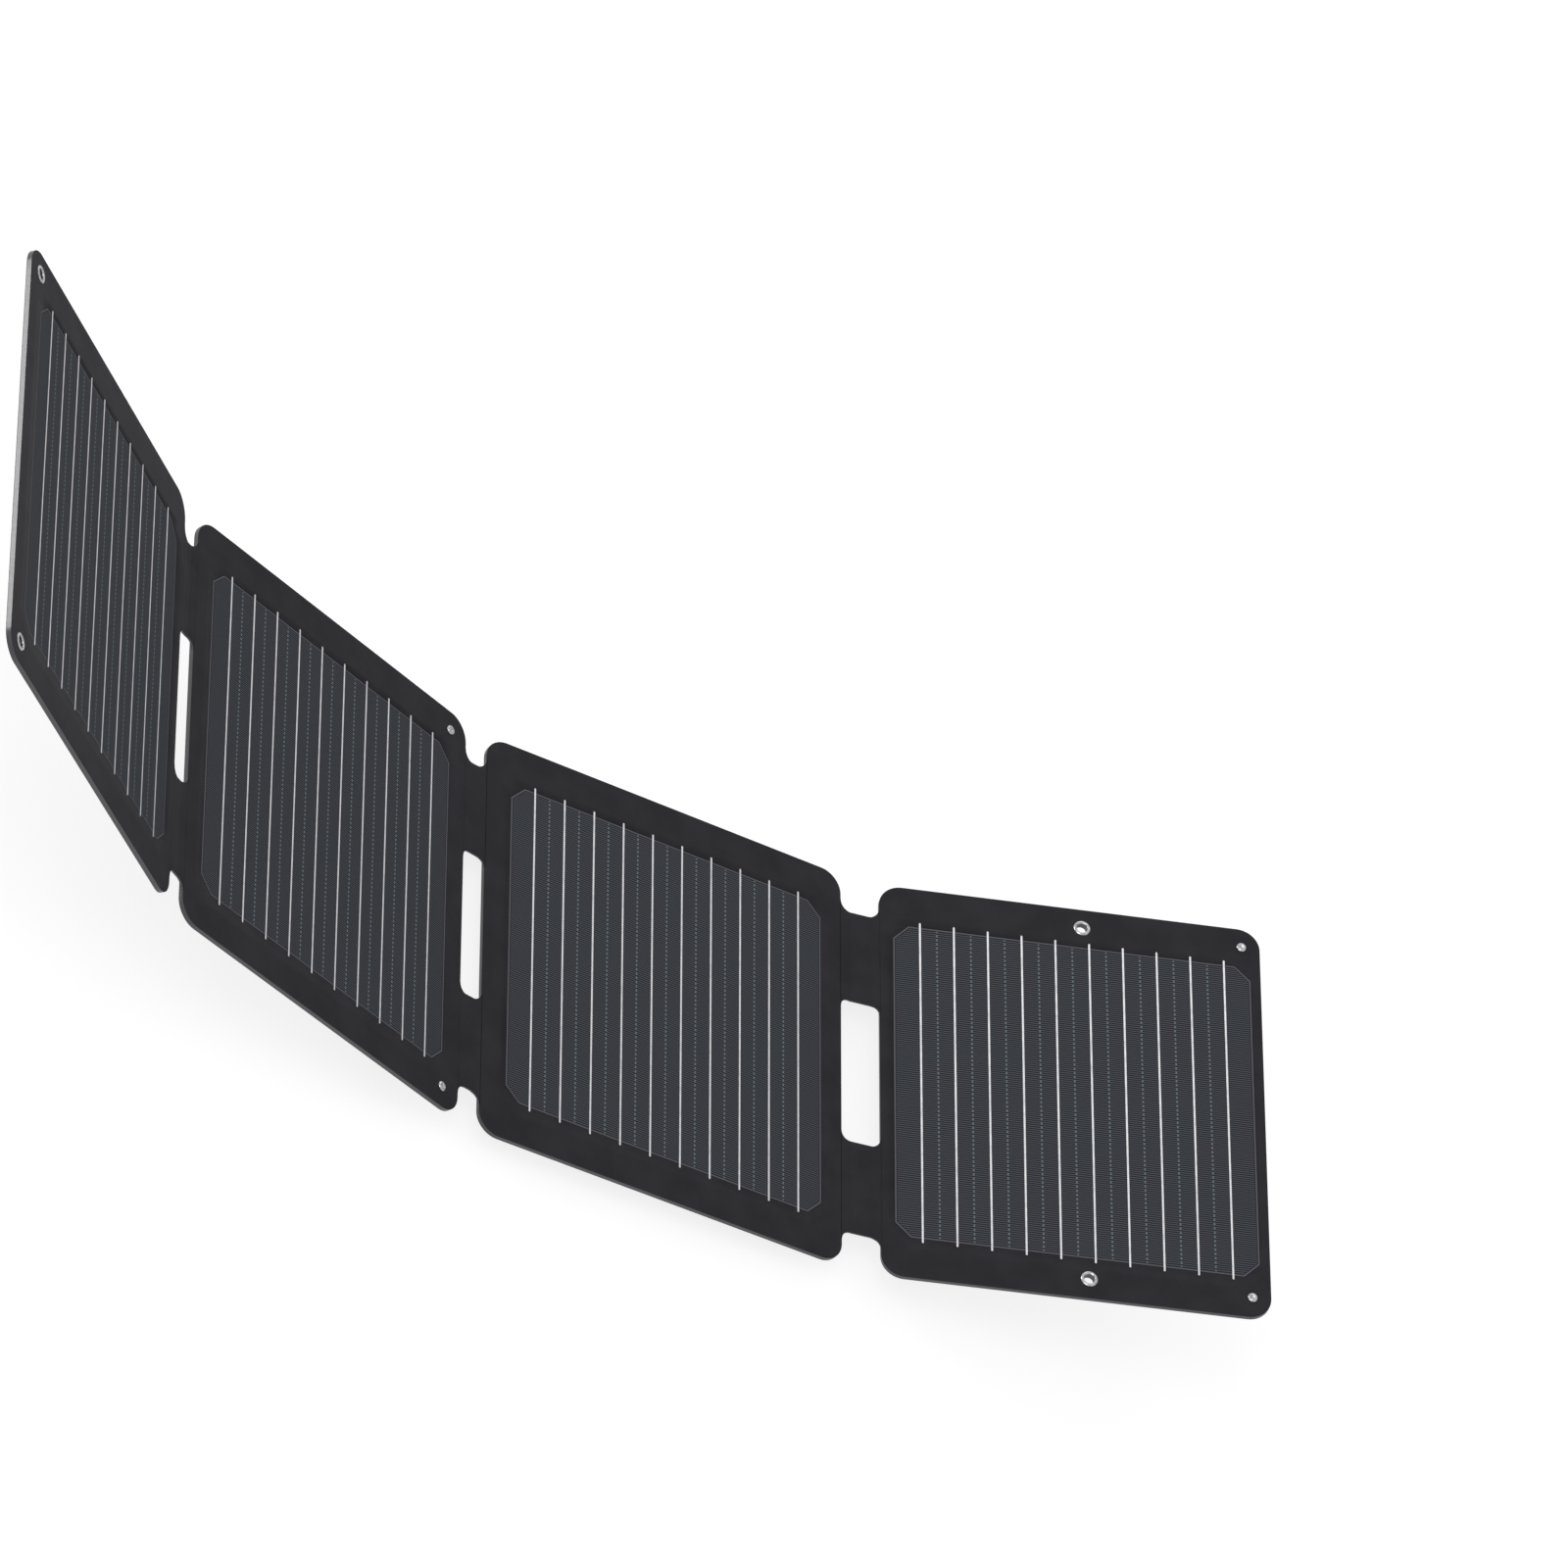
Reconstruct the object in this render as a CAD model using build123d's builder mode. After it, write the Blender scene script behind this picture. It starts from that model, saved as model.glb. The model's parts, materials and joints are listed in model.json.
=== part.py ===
"""Folding four-panel solar phone charger, in millimetres.

The strip lies along X with panel_1 at -X and panel_4 at +X. Hinge axes run along Y.
The cells face +Z. Panel 3 is level and carries the power box and the pocket on its back.
The origin is the bottom centre of the whole object's bounding box.
"""

import math
import os

from build123d import *

# Panels: distances from the middle of the cell to the panel's edges
EDGE_LEFT = {1: 90.5, 2: 89.0, 3: 91.0, 4: 84.5}
EDGE_RIGHT = {1: 87.0, 2: 89.5, 3: 89.0, 4: 83.0}
PANEL_HEIGHT = 196.2
PANEL_CORNER = 10.0
FILM = 0.5
BOARD = 1.4
CLOTH = 0.5
PANEL_T = FILM + BOARD + CLOTH
WRAP_WALL = 0.8
GAP = 0.1
NEAR = 0.01

# Cells and their wiring
CELL_HALF = 78.4
CELL_CHAMFER = 6.7
CELL_SINK = 0.05
WIRE_COUNT = 10
WIRE_PITCH = 14.83
WIRE_LENGTH = 161.3
WIRE_WIDTH = 0.8
WIRE_T = 0.2
TAPE_Y = 82.5
TAPE_LENGTH = 136.0
TAPE_WIDTH = 2.5
TAPE_T = 0.25

# Fabric hinges: two bands, each with two creases and a spine strip between them
BAND_INNER = 35.5
BAND_OUTER = 80.7
BAND_T = 1.2
CREASE_DEPTH = BAND_T / 2
CREASE_CLEAR = 0.7
SLOT_ROUND = 4.0
NOTCH_ROUND = 5.0
STACK_1 = 1.6
STACK_2 = STACK_1 + PANEL_T + 0.9
STACK_3 = STACK_2 + PANEL_T + 1.6
SPINE = {1: STACK_1 + BAND_T, 2: STACK_2 + BAND_T, 3: STACK_3 + BAND_T}
TAB_LEFT = {1: 4.2, 2: 3.0, 3: 4.9}
TAB_RIGHT = {1: 4.2, 2: 3.0, 3: 3.3}
REST_FOLD = {1: 19.0, 2: 19.6, 3: 22.4}
EDGE_STRIP = 2.0
RIBBON_WIDTH = 8.0
RIBBON_T = 0.3

# Fasteners
EYELET_R = 2.25
EYELET_BARREL_R = 2.6
EYELET_FLANGE_R = 3.7
EYELET_FLANGE_T = 0.4
EYELET_LIP_R = 3.2
EYELET_LIP_T = 0.25
FASTENER_Y = 88.6
STUD_R = 2.25
STUD_PROUD = 0.9
STUD_ROUND = 0.3
STUD_SHANK_R = 1.2
STUD_DIMPLE_R = 0.9
STUD_2_X = 78.5
STUD_4_X = 75.0
EYELET_4_X = 4.7
DISC_R = 3.2
DISC_T = 0.8

# Pocket on the back of panel 3
POCKET_LEFT = -71.5
POCKET_RIGHT = 73.5
POCKET_TOP = 47.0
POCKET_BOTTOM = -96.5
POCKET_CORNER = 30.0
POCKET_DEPTH = 3.0
POCKET_SHEET = 0.8
POCKET_WELD = 4.0

# Power box on the back of panel 3
BOX_X = 2.0
BOX_SIDE = 48.0
BOX_Y = PANEL_HEIGHT / 2 - BOX_SIDE / 2
BOX_BULGE = 1.2
BOX_CORNER = 12.5
BOX_BASE_T = 2.0
BOX_SHELL_T = 9.0
BOX_COVER_T = 2.0
BOX_COVER_ROUND = 0.9
BOX_STEP = 0.5
BOX_WALL = 1.8
BOX_FRONT_WALL = 1.5
WINDOW_SIDE = 19.7
WINDOW_BULGE = 0.6
WINDOW_CORNER = 4.6
WINDOW_RECESS = 0.3
DISPLAY_W = 14.6
DISPLAY_H = 9.6
DISPLAY_T = 2.4
BOSS_AT = 15.5
BOSS_R = 2.5
SCREW_R = 1.0
SCREW_HEAD_R = 1.9
SCREW_HEAD_T = 1.0
LEAD_R = 1.4
LEAD_DROP = 12.0
LEAD_Y = BOX_Y - LEAD_DROP

# Circuit board and sockets inside the power box
PCB_W = 41.0
PCB_H = 38.0
PCB_T = 1.0
PCB_LIFT = 0.6
PCB_CORNER = 8.7
REGULATOR_SIDE = 6.5
REGULATOR_T = 3.0
REGULATOR_AT = (-6.0, -10.0)
CHIP_SIDE = 5.0
CHIP_T = 0.9
CHIPS_AT = ((4.0, -9.0), (11.0, -3.0))
CAPACITOR_R = 2.0
CAPACITOR_H = 4.5
CAPACITORS_AT = ((16.0, -5.0), (16.0, 1.0))
SCREW_CLEAR = 1.0
USB_A_X = BOX_X - 5.0
USB_A_W = 13.2
USB_A_H = 5.7
USB_A_LENGTH = 14.0
USB_A_WALL = 0.3
USB_A_TONGUE_W = 11.1
USB_A_TONGUE_T = 1.8
USB_A_TONGUE_LENGTH = 12.0
USB_A_TONGUE_BACK = 1.0
USB_A_TONGUE_LIFT = 0.5
USB_C_X = BOX_X + 8.0
USB_C_W = 8.94
USB_C_H = 3.26
USB_C_LENGTH = 7.5
USB_C_WALL = 0.25
USB_C_TONGUE_W = 6.7
USB_C_TONGUE_T = 0.7
USB_C_TONGUE_LENGTH = 6.0
USB_C_TONGUE_BACK = 0.8
SOCKET_SET_BACK = 0.8
SOCKET_HOLE_DEPTH = 3.0

PANELS = (1, 2, 3, 4)
HINGES = (1, 2, 3)
BACK_Z = -PANEL_T
BOX_SHELL_Z = BACK_Z - BOX_BASE_T
BOX_COVER_Z = BOX_SHELL_Z - BOX_SHELL_T
BOX_BOTTOM_Z = BOX_COVER_Z - BOX_COVER_T
CAVITY_END_Z = BOX_COVER_Z + BOX_FRONT_WALL
PCB_TOP_Z = BOX_SHELL_Z - PCB_LIFT - PCB_T

os.makedirs("parts", exist_ok=True)


def save(builder, name):
    """Label a finished sub-part and write it to its own file."""
    builder.part.label = name
    export_step(builder.part, f"parts/{name}.step")


# ---------------------------------------------------------------- placing the strip


def crease_at(plane, local_x):
    """The point on a body's crease axis, at local_x along the body."""
    return plane.origin + plane.x_dir * local_x - plane.z_dir * CREASE_DEPTH


def body_plane(crease, local_x, turn):
    """The plane of a body turned about +Y whose crease at local_x lies on the given point."""
    angle = math.radians(turn)
    x_dir = Vector(math.cos(angle), 0, -math.sin(angle))
    z_dir = Vector(math.sin(angle), 0, math.cos(angle))
    origin = crease - x_dir * local_x + z_dir * CREASE_DEPTH
    return Plane(origin=origin, x_dir=x_dir, z_dir=z_dir)


def strip_planes(start):
    """The front-face plane of every panel and spine, chained outwards from panel 3."""
    planes = {"panel_3": Plane(origin=start)}
    turn = 0.0
    for hinge in (2, 1):
        inner = planes[f"panel_{hinge + 1}"]
        crease = crease_at(inner, -EDGE_LEFT[hinge + 1] - TAB_RIGHT[hinge])
        turn += REST_FOLD[hinge] / 2
        spine = body_plane(crease, SPINE[hinge] / 2, turn)
        crease = crease_at(spine, -SPINE[hinge] / 2)
        turn += REST_FOLD[hinge] / 2
        planes[f"spine_{hinge}"] = spine
        planes[f"panel_{hinge}"] = body_plane(crease, EDGE_RIGHT[hinge] + TAB_LEFT[hinge], turn)
    crease = crease_at(planes["panel_3"], EDGE_RIGHT[3] + TAB_LEFT[3])
    spine = body_plane(crease, -SPINE[3] / 2, -REST_FOLD[3] / 2)
    crease = crease_at(spine, SPINE[3] / 2)
    planes["spine_3"] = spine
    planes["panel_4"] = body_plane(crease, -EDGE_LEFT[4] - TAB_RIGHT[3], -REST_FOLD[3])
    return planes


def centred_planes():
    """The same planes, moved so that the origin is the bottom centre of the bounding box."""
    planes = strip_planes(Vector(0, 0, 0))
    first, last = planes["panel_1"], planes["panel_4"]
    low = (first.origin - first.x_dir * EDGE_LEFT[1] - first.z_dir * PANEL_T).X
    high = (last.origin + last.x_dir * EDGE_RIGHT[4] - last.z_dir * PANEL_T).X
    return strip_planes(Vector(-(low + high) / 2, 0, -BOX_BOTTOM_Z))


PLANES = centred_planes()
BACK_PANEL = PLANES["panel_3"]

# ---------------------------------------------------------------- shared outlines


def plate_outline(panel, inset=0.0):
    """The rounded plate of a panel, without its hinge bands, in the open sketch."""
    width = EDGE_LEFT[panel] + EDGE_RIGHT[panel] - 2 * inset
    with Locations(((EDGE_RIGHT[panel] - EDGE_LEFT[panel]) / 2, 0)):
        RectangleRounded(width, PANEL_HEIGHT - 2 * inset, PANEL_CORNER - inset)


def band_sketch(left, right, start, stop):
    """Both bands between panel edges at x = left and right, kept from start to stop.

    A strip of each panel's edge is drawn too, so that the corners where the bands
    leave the panels can be rounded.
    """
    strip_height = PANEL_HEIGHT - 2 * PANEL_CORNER - EDGE_STRIP / 2
    middle = (left + right) / 2
    with BuildSketch() as bands:
        with Locations((middle, 0)):
            Rectangle(right - left, 2 * BAND_OUTER)
            Rectangle(right - left, 2 * BAND_INNER, mode=Mode.SUBTRACT)
        with Locations((left - EDGE_STRIP / 2, 0), (right + EDGE_STRIP / 2, 0)):
            Rectangle(EDGE_STRIP, strip_height)
        slot = bands.vertices().filter_by(lambda v: abs(abs(v.Y) - BAND_INNER) < NEAR)
        fillet(slot, SLOT_ROUND)
        notch = bands.vertices().filter_by(lambda v: abs(abs(v.Y) - BAND_OUTER) < NEAR)
        fillet(notch, NOTCH_ROUND)
        with Locations(((start + stop) / 2, 0)):
            Rectangle(stop - start, 2 * strip_height, mode=Mode.INTERSECT)
    return bands.sketch


def panel_tabs(panel):
    """The stretches of band that belong to a panel, up to its creases."""
    tabs = []
    if panel < 4:
        edge = EDGE_RIGHT[panel]
        tab = TAB_LEFT[panel]
        gap = tab + SPINE[panel] + TAB_RIGHT[panel]
        stop = edge + tab - CREASE_CLEAR
        tabs.append(band_sketch(edge, edge + gap, edge - EDGE_STRIP / 2, stop))
    if panel > 1:
        edge = -EDGE_LEFT[panel]
        tab = TAB_RIGHT[panel - 1]
        gap = tab + SPINE[panel - 1] + TAB_LEFT[panel - 1]
        start = edge - tab + CREASE_CLEAR
        tabs.append(band_sketch(edge - gap, edge, start, edge + EDGE_STRIP / 2))
    return tabs


def spine_strip(hinge):
    """The strip of band between the two creases of a hinge."""
    half = SPINE[hinge] / 2
    keep = half - CREASE_CLEAR
    return band_sketch(-half - TAB_LEFT[hinge], half + TAB_RIGHT[hinge], -keep, keep)


def fastener_spots(panel):
    """Eyelet and stud centres on a panel, as (eyelets, studs)."""
    corner_eyelet_x = -(EDGE_LEFT[2] + STUD_2_X - EDGE_RIGHT[1])
    eyelet_x = {1: corner_eyelet_x, 4: EYELET_4_X}
    stud_x = {2: STUD_2_X, 4: STUD_4_X}
    rows = (FASTENER_Y, -FASTENER_Y)
    eyelets = [(eyelet_x[panel], y) for y in rows] if panel in eyelet_x else []
    studs = [(stud_x[panel], y) for y in rows] if panel in stud_x else []
    return eyelets, studs


def catch_spots():
    """Where the studs of panel 4 land on the back of panel 2 when the stack is folded."""
    hinge_x = EDGE_RIGHT[3] + TAB_LEFT[3]
    stud_x = hinge_x - TAB_RIGHT[3] - EDGE_LEFT[4] - STUD_4_X
    middle_2 = EDGE_RIGHT[2] - EDGE_LEFT[3]
    return [(middle_2 - stud_x, y) for y in (FASTENER_Y, -FASTENER_Y)]


def round_holes(spots, radius):
    """Circles at the given spots, cut from the open sketch."""
    if spots:
        with Locations(*spots):
            Circle(radius, mode=Mode.SUBTRACT)


def cell_outline(grow=0.0):
    """A square wafer with cut corners, in the open sketch."""
    side = 2 * (CELL_HALF + grow)
    wafer = Rectangle(side, side)
    chamfer(wafer.vertices(), CELL_CHAMFER)


# ---------------------------------------------------------------- the four panels


def make_back_cloth(panel, plane, tabs):
    """Woven back face, wrapped round the edge up to the film, with its hinge tabs."""
    eyelets, _ = fastener_spots(panel)
    with BuildPart() as back_cloth:
        with BuildSketch(plane.offset(BACK_Z)):
            plate_outline(panel)
        extrude(amount=PANEL_T - FILM)
        with BuildSketch(plane.offset(-BAND_T)):
            for tab in tabs:
                add(tab)
        extrude(amount=BAND_T - FILM)
        with BuildSketch(plane.offset(BACK_Z + CLOTH)):
            plate_outline(panel, WRAP_WALL)
        extrude(amount=BOARD, mode=Mode.SUBTRACT)
        if eyelets:
            with BuildSketch(plane.offset(BACK_Z)):
                with Locations(*eyelets):
                    Circle(EYELET_BARREL_R + GAP / 2)
            extrude(amount=CLOTH, mode=Mode.SUBTRACT)
        if panel == 3:
            with BuildSketch(plane.offset(BACK_Z)):
                with Locations((BOX_X, LEAD_Y)):
                    Circle(LEAD_R + GAP)
            extrude(amount=CLOTH, mode=Mode.SUBTRACT)
    save(back_cloth, f"panel_{panel}_back_cloth")


def make_board(panel, plane):
    """Stiffener plate inside the wrap, with grooves for the bus tapes."""
    eyelets, studs = fastener_spots(panel)
    with BuildPart() as board:
        with BuildSketch(plane.offset(BACK_Z + CLOTH)):
            plate_outline(panel, WRAP_WALL + GAP)
            round_holes(eyelets, EYELET_BARREL_R + GAP / 2)
            round_holes(studs, STUD_SHANK_R + GAP / 2)
            if panel == 3:
                round_holes([(BOX_X, LEAD_Y)], LEAD_R + GAP)
        extrude(amount=BOARD)
        with BuildSketch(plane.offset(-FILM - TAPE_T)):
            with Locations((0, TAPE_Y), (0, -TAPE_Y)):
                Rectangle(TAPE_LENGTH + GAP, TAPE_WIDTH + GAP)
        extrude(amount=TAPE_T, mode=Mode.SUBTRACT)
        if panel == 2:
            with BuildSketch(plane.offset(BACK_Z + CLOTH)):
                with Locations(*catch_spots()):
                    Circle(DISC_R + GAP)
            extrude(amount=DISC_T, mode=Mode.SUBTRACT)
    save(board, f"panel_{panel}_board")


def make_front_film(panel, plane, tabs):
    """Black front facing with a window for the cell, running out over the hinge tabs."""
    eyelets, studs = fastener_spots(panel)
    with BuildPart() as front_film:
        with BuildSketch(plane.offset(-FILM)):
            plate_outline(panel)
            for tab in tabs:
                add(tab)
            round_holes(eyelets, EYELET_BARREL_R + GAP / 2)
            round_holes(studs, STUD_SHANK_R + GAP / 2)
        extrude(amount=FILM)
        with BuildSketch(plane.offset(-FILM)):
            cell_outline(GAP)
        extrude(amount=FILM, mode=Mode.SUBTRACT)
    save(front_film, f"panel_{panel}_front_film")


def make_cell(panel, plane):
    """Silicon wafer lying in the film's window."""
    with BuildPart() as cell:
        with BuildSketch(plane.offset(-FILM)):
            cell_outline()
        extrude(amount=FILM - CELL_SINK)
    save(cell, f"panel_{panel}_cell")


def make_wires(panel, plane):
    """Bright collector wires over the cell, and the bus tapes under the film that join them."""
    with BuildPart() as wires:
        with BuildSketch(plane):
            with GridLocations(WIRE_PITCH, 1, WIRE_COUNT, 1):
                SlotOverall(WIRE_LENGTH, WIRE_WIDTH, rotation=90)
        extrude(amount=WIRE_T)
    save(wires, f"panel_{panel}_wires")
    with BuildPart() as tapes:
        with BuildSketch(plane.offset(-FILM - TAPE_T)):
            with Locations((0, TAPE_Y), (0, -TAPE_Y)):
                Rectangle(TAPE_LENGTH, TAPE_WIDTH)
        extrude(amount=TAPE_T)
    save(tapes, f"panel_{panel}_bus_tapes")


def make_eyelets(panel, plane):
    """Flanged metal eyelets through the whole panel, and the washers behind it."""
    spots, _ = fastener_spots(panel)
    lip_z = BACK_Z - EYELET_FLANGE_T
    with BuildPart() as eyelets:
        with BuildSketch(plane.offset(lip_z)):
            with Locations(*spots):
                Circle(EYELET_BARREL_R)
        extrude(amount=EYELET_FLANGE_T - lip_z)
        with BuildSketch(plane):
            with Locations(*spots):
                Circle(EYELET_FLANGE_R)
        extrude(amount=EYELET_FLANGE_T)
        with BuildSketch(plane.offset(lip_z - EYELET_LIP_T)):
            with Locations(*spots):
                Circle(EYELET_LIP_R)
        extrude(amount=EYELET_LIP_T)
        with BuildSketch(plane.offset(lip_z - EYELET_LIP_T)):
            with Locations(*spots):
                Circle(EYELET_R)
        extrude(amount=EYELET_FLANGE_T + EYELET_LIP_T - lip_z, mode=Mode.SUBTRACT)
    save(eyelets, f"panel_{panel}_eyelets")
    with BuildPart() as washers:
        with BuildSketch(plane.offset(lip_z)):
            with Locations(*spots):
                Circle(EYELET_FLANGE_R)
            round_holes(spots, EYELET_BARREL_R + GAP / 2)
        extrude(amount=EYELET_FLANGE_T)
    save(washers, f"panel_{panel}_eyelet_washers")


def make_studs(panel, plane):
    """Low round closure studs with a dimple, on shanks set through film and board."""
    _, spots = fastener_spots(panel)
    with BuildPart() as studs:
        with BuildSketch(plane.offset(BACK_Z + CLOTH)):
            with Locations(*spots):
                Circle(STUD_SHANK_R)
        extrude(amount=FILM + BOARD)
        with BuildSketch(plane):
            with Locations(*spots):
                Circle(STUD_R)
        extrude(amount=STUD_PROUD)
        rims = studs.edges().filter_by(GeomType.CIRCLE)
        tops = rims.filter_by(lambda e: plane.to_local_coords(e.center()).Z > STUD_PROUD - NEAR)
        fillet(tops, STUD_ROUND)
        with BuildSketch(plane.offset(STUD_PROUD / 2)):
            with Locations(*spots):
                Circle(STUD_DIMPLE_R)
        extrude(amount=STUD_PROUD, mode=Mode.SUBTRACT)
    save(studs, f"panel_{panel}_studs")


def make_catch_discs(plane):
    """Steel discs in the board of panel 2 that the studs of panel 4 close on."""
    with BuildPart() as discs:
        with BuildSketch(plane.offset(BACK_Z + CLOTH)):
            with Locations(*catch_spots()):
                Circle(DISC_R)
        extrude(amount=DISC_T)
    save(discs, "panel_2_catch_discs")


def make_spine(hinge):
    """Band strip between two creases: film in front, cloth behind, ribbon between them."""
    plane = PLANES[f"spine_{hinge}"]
    strip = spine_strip(hinge)
    width = SPINE[hinge] - 2 * CREASE_CLEAR
    middle = (BAND_INNER + BAND_OUTER) / 2
    with BuildPart() as film:
        with BuildSketch(plane.offset(-FILM)):
            add(strip)
        extrude(amount=FILM)
    save(film, f"spine_{hinge}_front_film")
    with BuildPart() as cloth:
        with BuildSketch(plane.offset(-BAND_T)):
            add(strip)
        extrude(amount=BAND_T - FILM)
        with BuildSketch(plane.offset(-FILM - RIBBON_T)):
            with Locations((0, middle), (0, -middle)):
                Rectangle(width, RIBBON_WIDTH + GAP)
        extrude(amount=RIBBON_T, mode=Mode.SUBTRACT)
    save(cloth, f"spine_{hinge}_cloth")
    with BuildPart() as ribbon:
        with BuildSketch(plane.offset(-FILM - RIBBON_T)):
            with Locations((0, middle), (0, -middle)):
                Rectangle(width, RIBBON_WIDTH)
        extrude(amount=RIBBON_T)
    save(ribbon, f"spine_{hinge}_ribbon")


for number in PANELS:
    home = PLANES[f"panel_{number}"]
    band_tabs = panel_tabs(number)
    make_back_cloth(number, home, band_tabs)
    make_board(number, home)
    make_front_film(number, home, band_tabs)
    make_cell(number, home)
    make_wires(number, home)
for number in (1, 4):
    make_eyelets(number, PLANES[f"panel_{number}"])
for number in (2, 4):
    make_studs(number, PLANES[f"panel_{number}"])
make_catch_discs(PLANES["panel_2"])
for number in HINGES:
    make_spine(number)

# ---------------------------------------------------------------- pocket


def pocket_outline(inset, top):
    """Pocket outline, square at the open top and round at the bottom corners."""
    left = POCKET_LEFT + inset
    right = POCKET_RIGHT - inset
    bottom = POCKET_BOTTOM + inset
    with Locations(((left + right) / 2, (top + bottom) / 2)):
        sheet = Rectangle(right - left, top - bottom)
    fillet(sheet.vertices().group_by(Axis.Y)[0], POCKET_CORNER - inset)


with BuildPart() as pocket_pouch:
    with BuildSketch(BACK_PANEL.offset(BACK_Z - POCKET_DEPTH)):
        pocket_outline(0, POCKET_TOP)
    extrude(amount=POCKET_DEPTH)
    with BuildSketch(BACK_PANEL.offset(BACK_Z - POCKET_DEPTH + POCKET_SHEET)):
        pocket_outline(POCKET_WELD, POCKET_TOP + POCKET_SHEET)
    extrude(amount=POCKET_DEPTH - POCKET_SHEET, mode=Mode.SUBTRACT)
save(pocket_pouch, "pocket_pouch")

# ---------------------------------------------------------------- power box

BOSSES = [(BOX_X + i * BOSS_AT, BOX_Y + j * BOSS_AT) for i in (-1, 1) for j in (-1, 1)]


def bulged_square(side, bulge, corner):
    """A rounded square with outward-curving sides, round the power box's middle."""
    half = side / 2
    tip = half - bulge
    top, bottom = BOX_Y + tip, BOX_Y - tip
    left, right = BOX_X - tip, BOX_X + tip
    with BuildLine() as border:
        ThreePointArc((right, top), (BOX_X, BOX_Y + half), (left, top))
        ThreePointArc((left, top), (BOX_X - half, BOX_Y), (left, bottom))
        ThreePointArc((left, bottom), (BOX_X, BOX_Y - half), (right, bottom))
        ThreePointArc((right, bottom), (BOX_X + half, BOX_Y), (right, top))
    face = make_face(border.edges())
    fillet(face.vertices(), corner)


def box_outline(step=0.0):
    """The power box's outline, drawn in by step on every side."""
    bulged_square(BOX_SIDE - 2 * step, BOX_BULGE, BOX_CORNER - step)


def window_outline(step=0.0):
    """The window's outline, drawn in by step on every side."""
    bulged_square(WINDOW_SIDE - 2 * step, WINDOW_BULGE, WINDOW_CORNER - step)


def side_plane(x, z):
    """A plane across the box's upper side wall, its normal along +Y."""
    place = BACK_PANEL.origin + Vector(x, BOX_Y + BOX_SIDE / 2 - BOX_STEP, z)
    return Plane(origin=place, x_dir=(1, 0, 0), z_dir=(0, 1, 0))


USB_A_PLANE = side_plane(USB_A_X, PCB_TOP_Z - USB_A_H / 2)
USB_C_PLANE = side_plane(USB_C_X, PCB_TOP_Z - USB_C_H / 2)

with BuildPart() as box_base:
    with BuildSketch(BACK_PANEL.offset(BOX_SHELL_Z)):
        box_outline(BOX_STEP)
        round_holes(BOSSES, SCREW_R + GAP)
        round_holes([(BOX_X, LEAD_Y)], LEAD_R + GAP)
    extrude(amount=BOX_BASE_T)
    with BuildSketch(BACK_PANEL.offset(BACK_Z - SCREW_HEAD_T)):
        with Locations(*BOSSES):
            Circle(SCREW_HEAD_R + GAP)
    extrude(amount=SCREW_HEAD_T, mode=Mode.SUBTRACT)
save(box_base, "power_box_base")

with BuildPart() as box_shell:
    with BuildSketch(BACK_PANEL.offset(BOX_COVER_Z)):
        box_outline(BOX_STEP)
    extrude(amount=BOX_SHELL_T)
    fillet(box_shell.faces().sort_by(Axis.Z)[0].edges(), BOX_STEP)
    with BuildSketch(BACK_PANEL.offset(CAVITY_END_Z)):
        box_outline(BOX_STEP + BOX_WALL)
        round_holes(BOSSES, BOSS_R)
    extrude(amount=BOX_SHELL_T - BOX_FRONT_WALL, mode=Mode.SUBTRACT)
    with BuildSketch(BACK_PANEL.offset(CAVITY_END_Z)):
        with Locations(*BOSSES):
            Circle(SCREW_R + GAP)
    extrude(amount=BOX_SHELL_T - BOX_FRONT_WALL, mode=Mode.SUBTRACT)
    with BuildSketch(BACK_PANEL.offset(BOX_COVER_Z)):
        with Locations((BOX_X, BOX_Y)):
            Rectangle(DISPLAY_W + 2 * GAP, DISPLAY_H + 2 * GAP)
    extrude(amount=BOX_FRONT_WALL, mode=Mode.SUBTRACT)
    with BuildSketch(USB_A_PLANE):
        Rectangle(USB_A_W + 2 * GAP, USB_A_H + 2 * GAP)
    extrude(amount=-SOCKET_HOLE_DEPTH, mode=Mode.SUBTRACT)
    with BuildSketch(USB_C_PLANE):
        SlotOverall(USB_C_W + 2 * GAP, USB_C_H + 2 * GAP)
    extrude(amount=-SOCKET_HOLE_DEPTH, mode=Mode.SUBTRACT)
save(box_shell, "power_box_shell")

with BuildPart() as box_cover:
    with BuildSketch(BACK_PANEL.offset(BOX_BOTTOM_Z)):
        box_outline()
    extrude(amount=BOX_COVER_T)
    fillet(box_cover.faces().sort_by(Axis.Z)[0].edges(), BOX_COVER_ROUND)
    with BuildSketch(BACK_PANEL.offset(BOX_BOTTOM_Z)):
        window_outline()
    extrude(amount=BOX_COVER_T, mode=Mode.SUBTRACT)
save(box_cover, "power_box_cover")

with BuildPart() as box_window:
    with BuildSketch(BACK_PANEL.offset(BOX_BOTTOM_Z + WINDOW_RECESS)):
        window_outline(GAP / 2)
    extrude(amount=BOX_COVER_T - WINDOW_RECESS)
    fillet(box_window.faces().sort_by(Axis.Z)[0].edges(), GAP)
save(box_window, "power_box_window")

with BuildPart() as box_display:
    with BuildSketch(BACK_PANEL.offset(BOX_COVER_Z + GAP)):
        with Locations((BOX_X, BOX_Y)):
            Rectangle(DISPLAY_W, DISPLAY_H)
    extrude(amount=DISPLAY_T)
save(box_display, "power_box_display")

with BuildPart() as box_pcb:
    with BuildSketch(BACK_PANEL.offset(PCB_TOP_Z)):
        with Locations((BOX_X, BOX_Y)):
            RectangleRounded(PCB_W, PCB_H, PCB_CORNER)
        round_holes(BOSSES, BOSS_R + 2 * GAP)
    extrude(amount=PCB_T)
save(box_pcb, "power_box_circuit_board")

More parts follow.
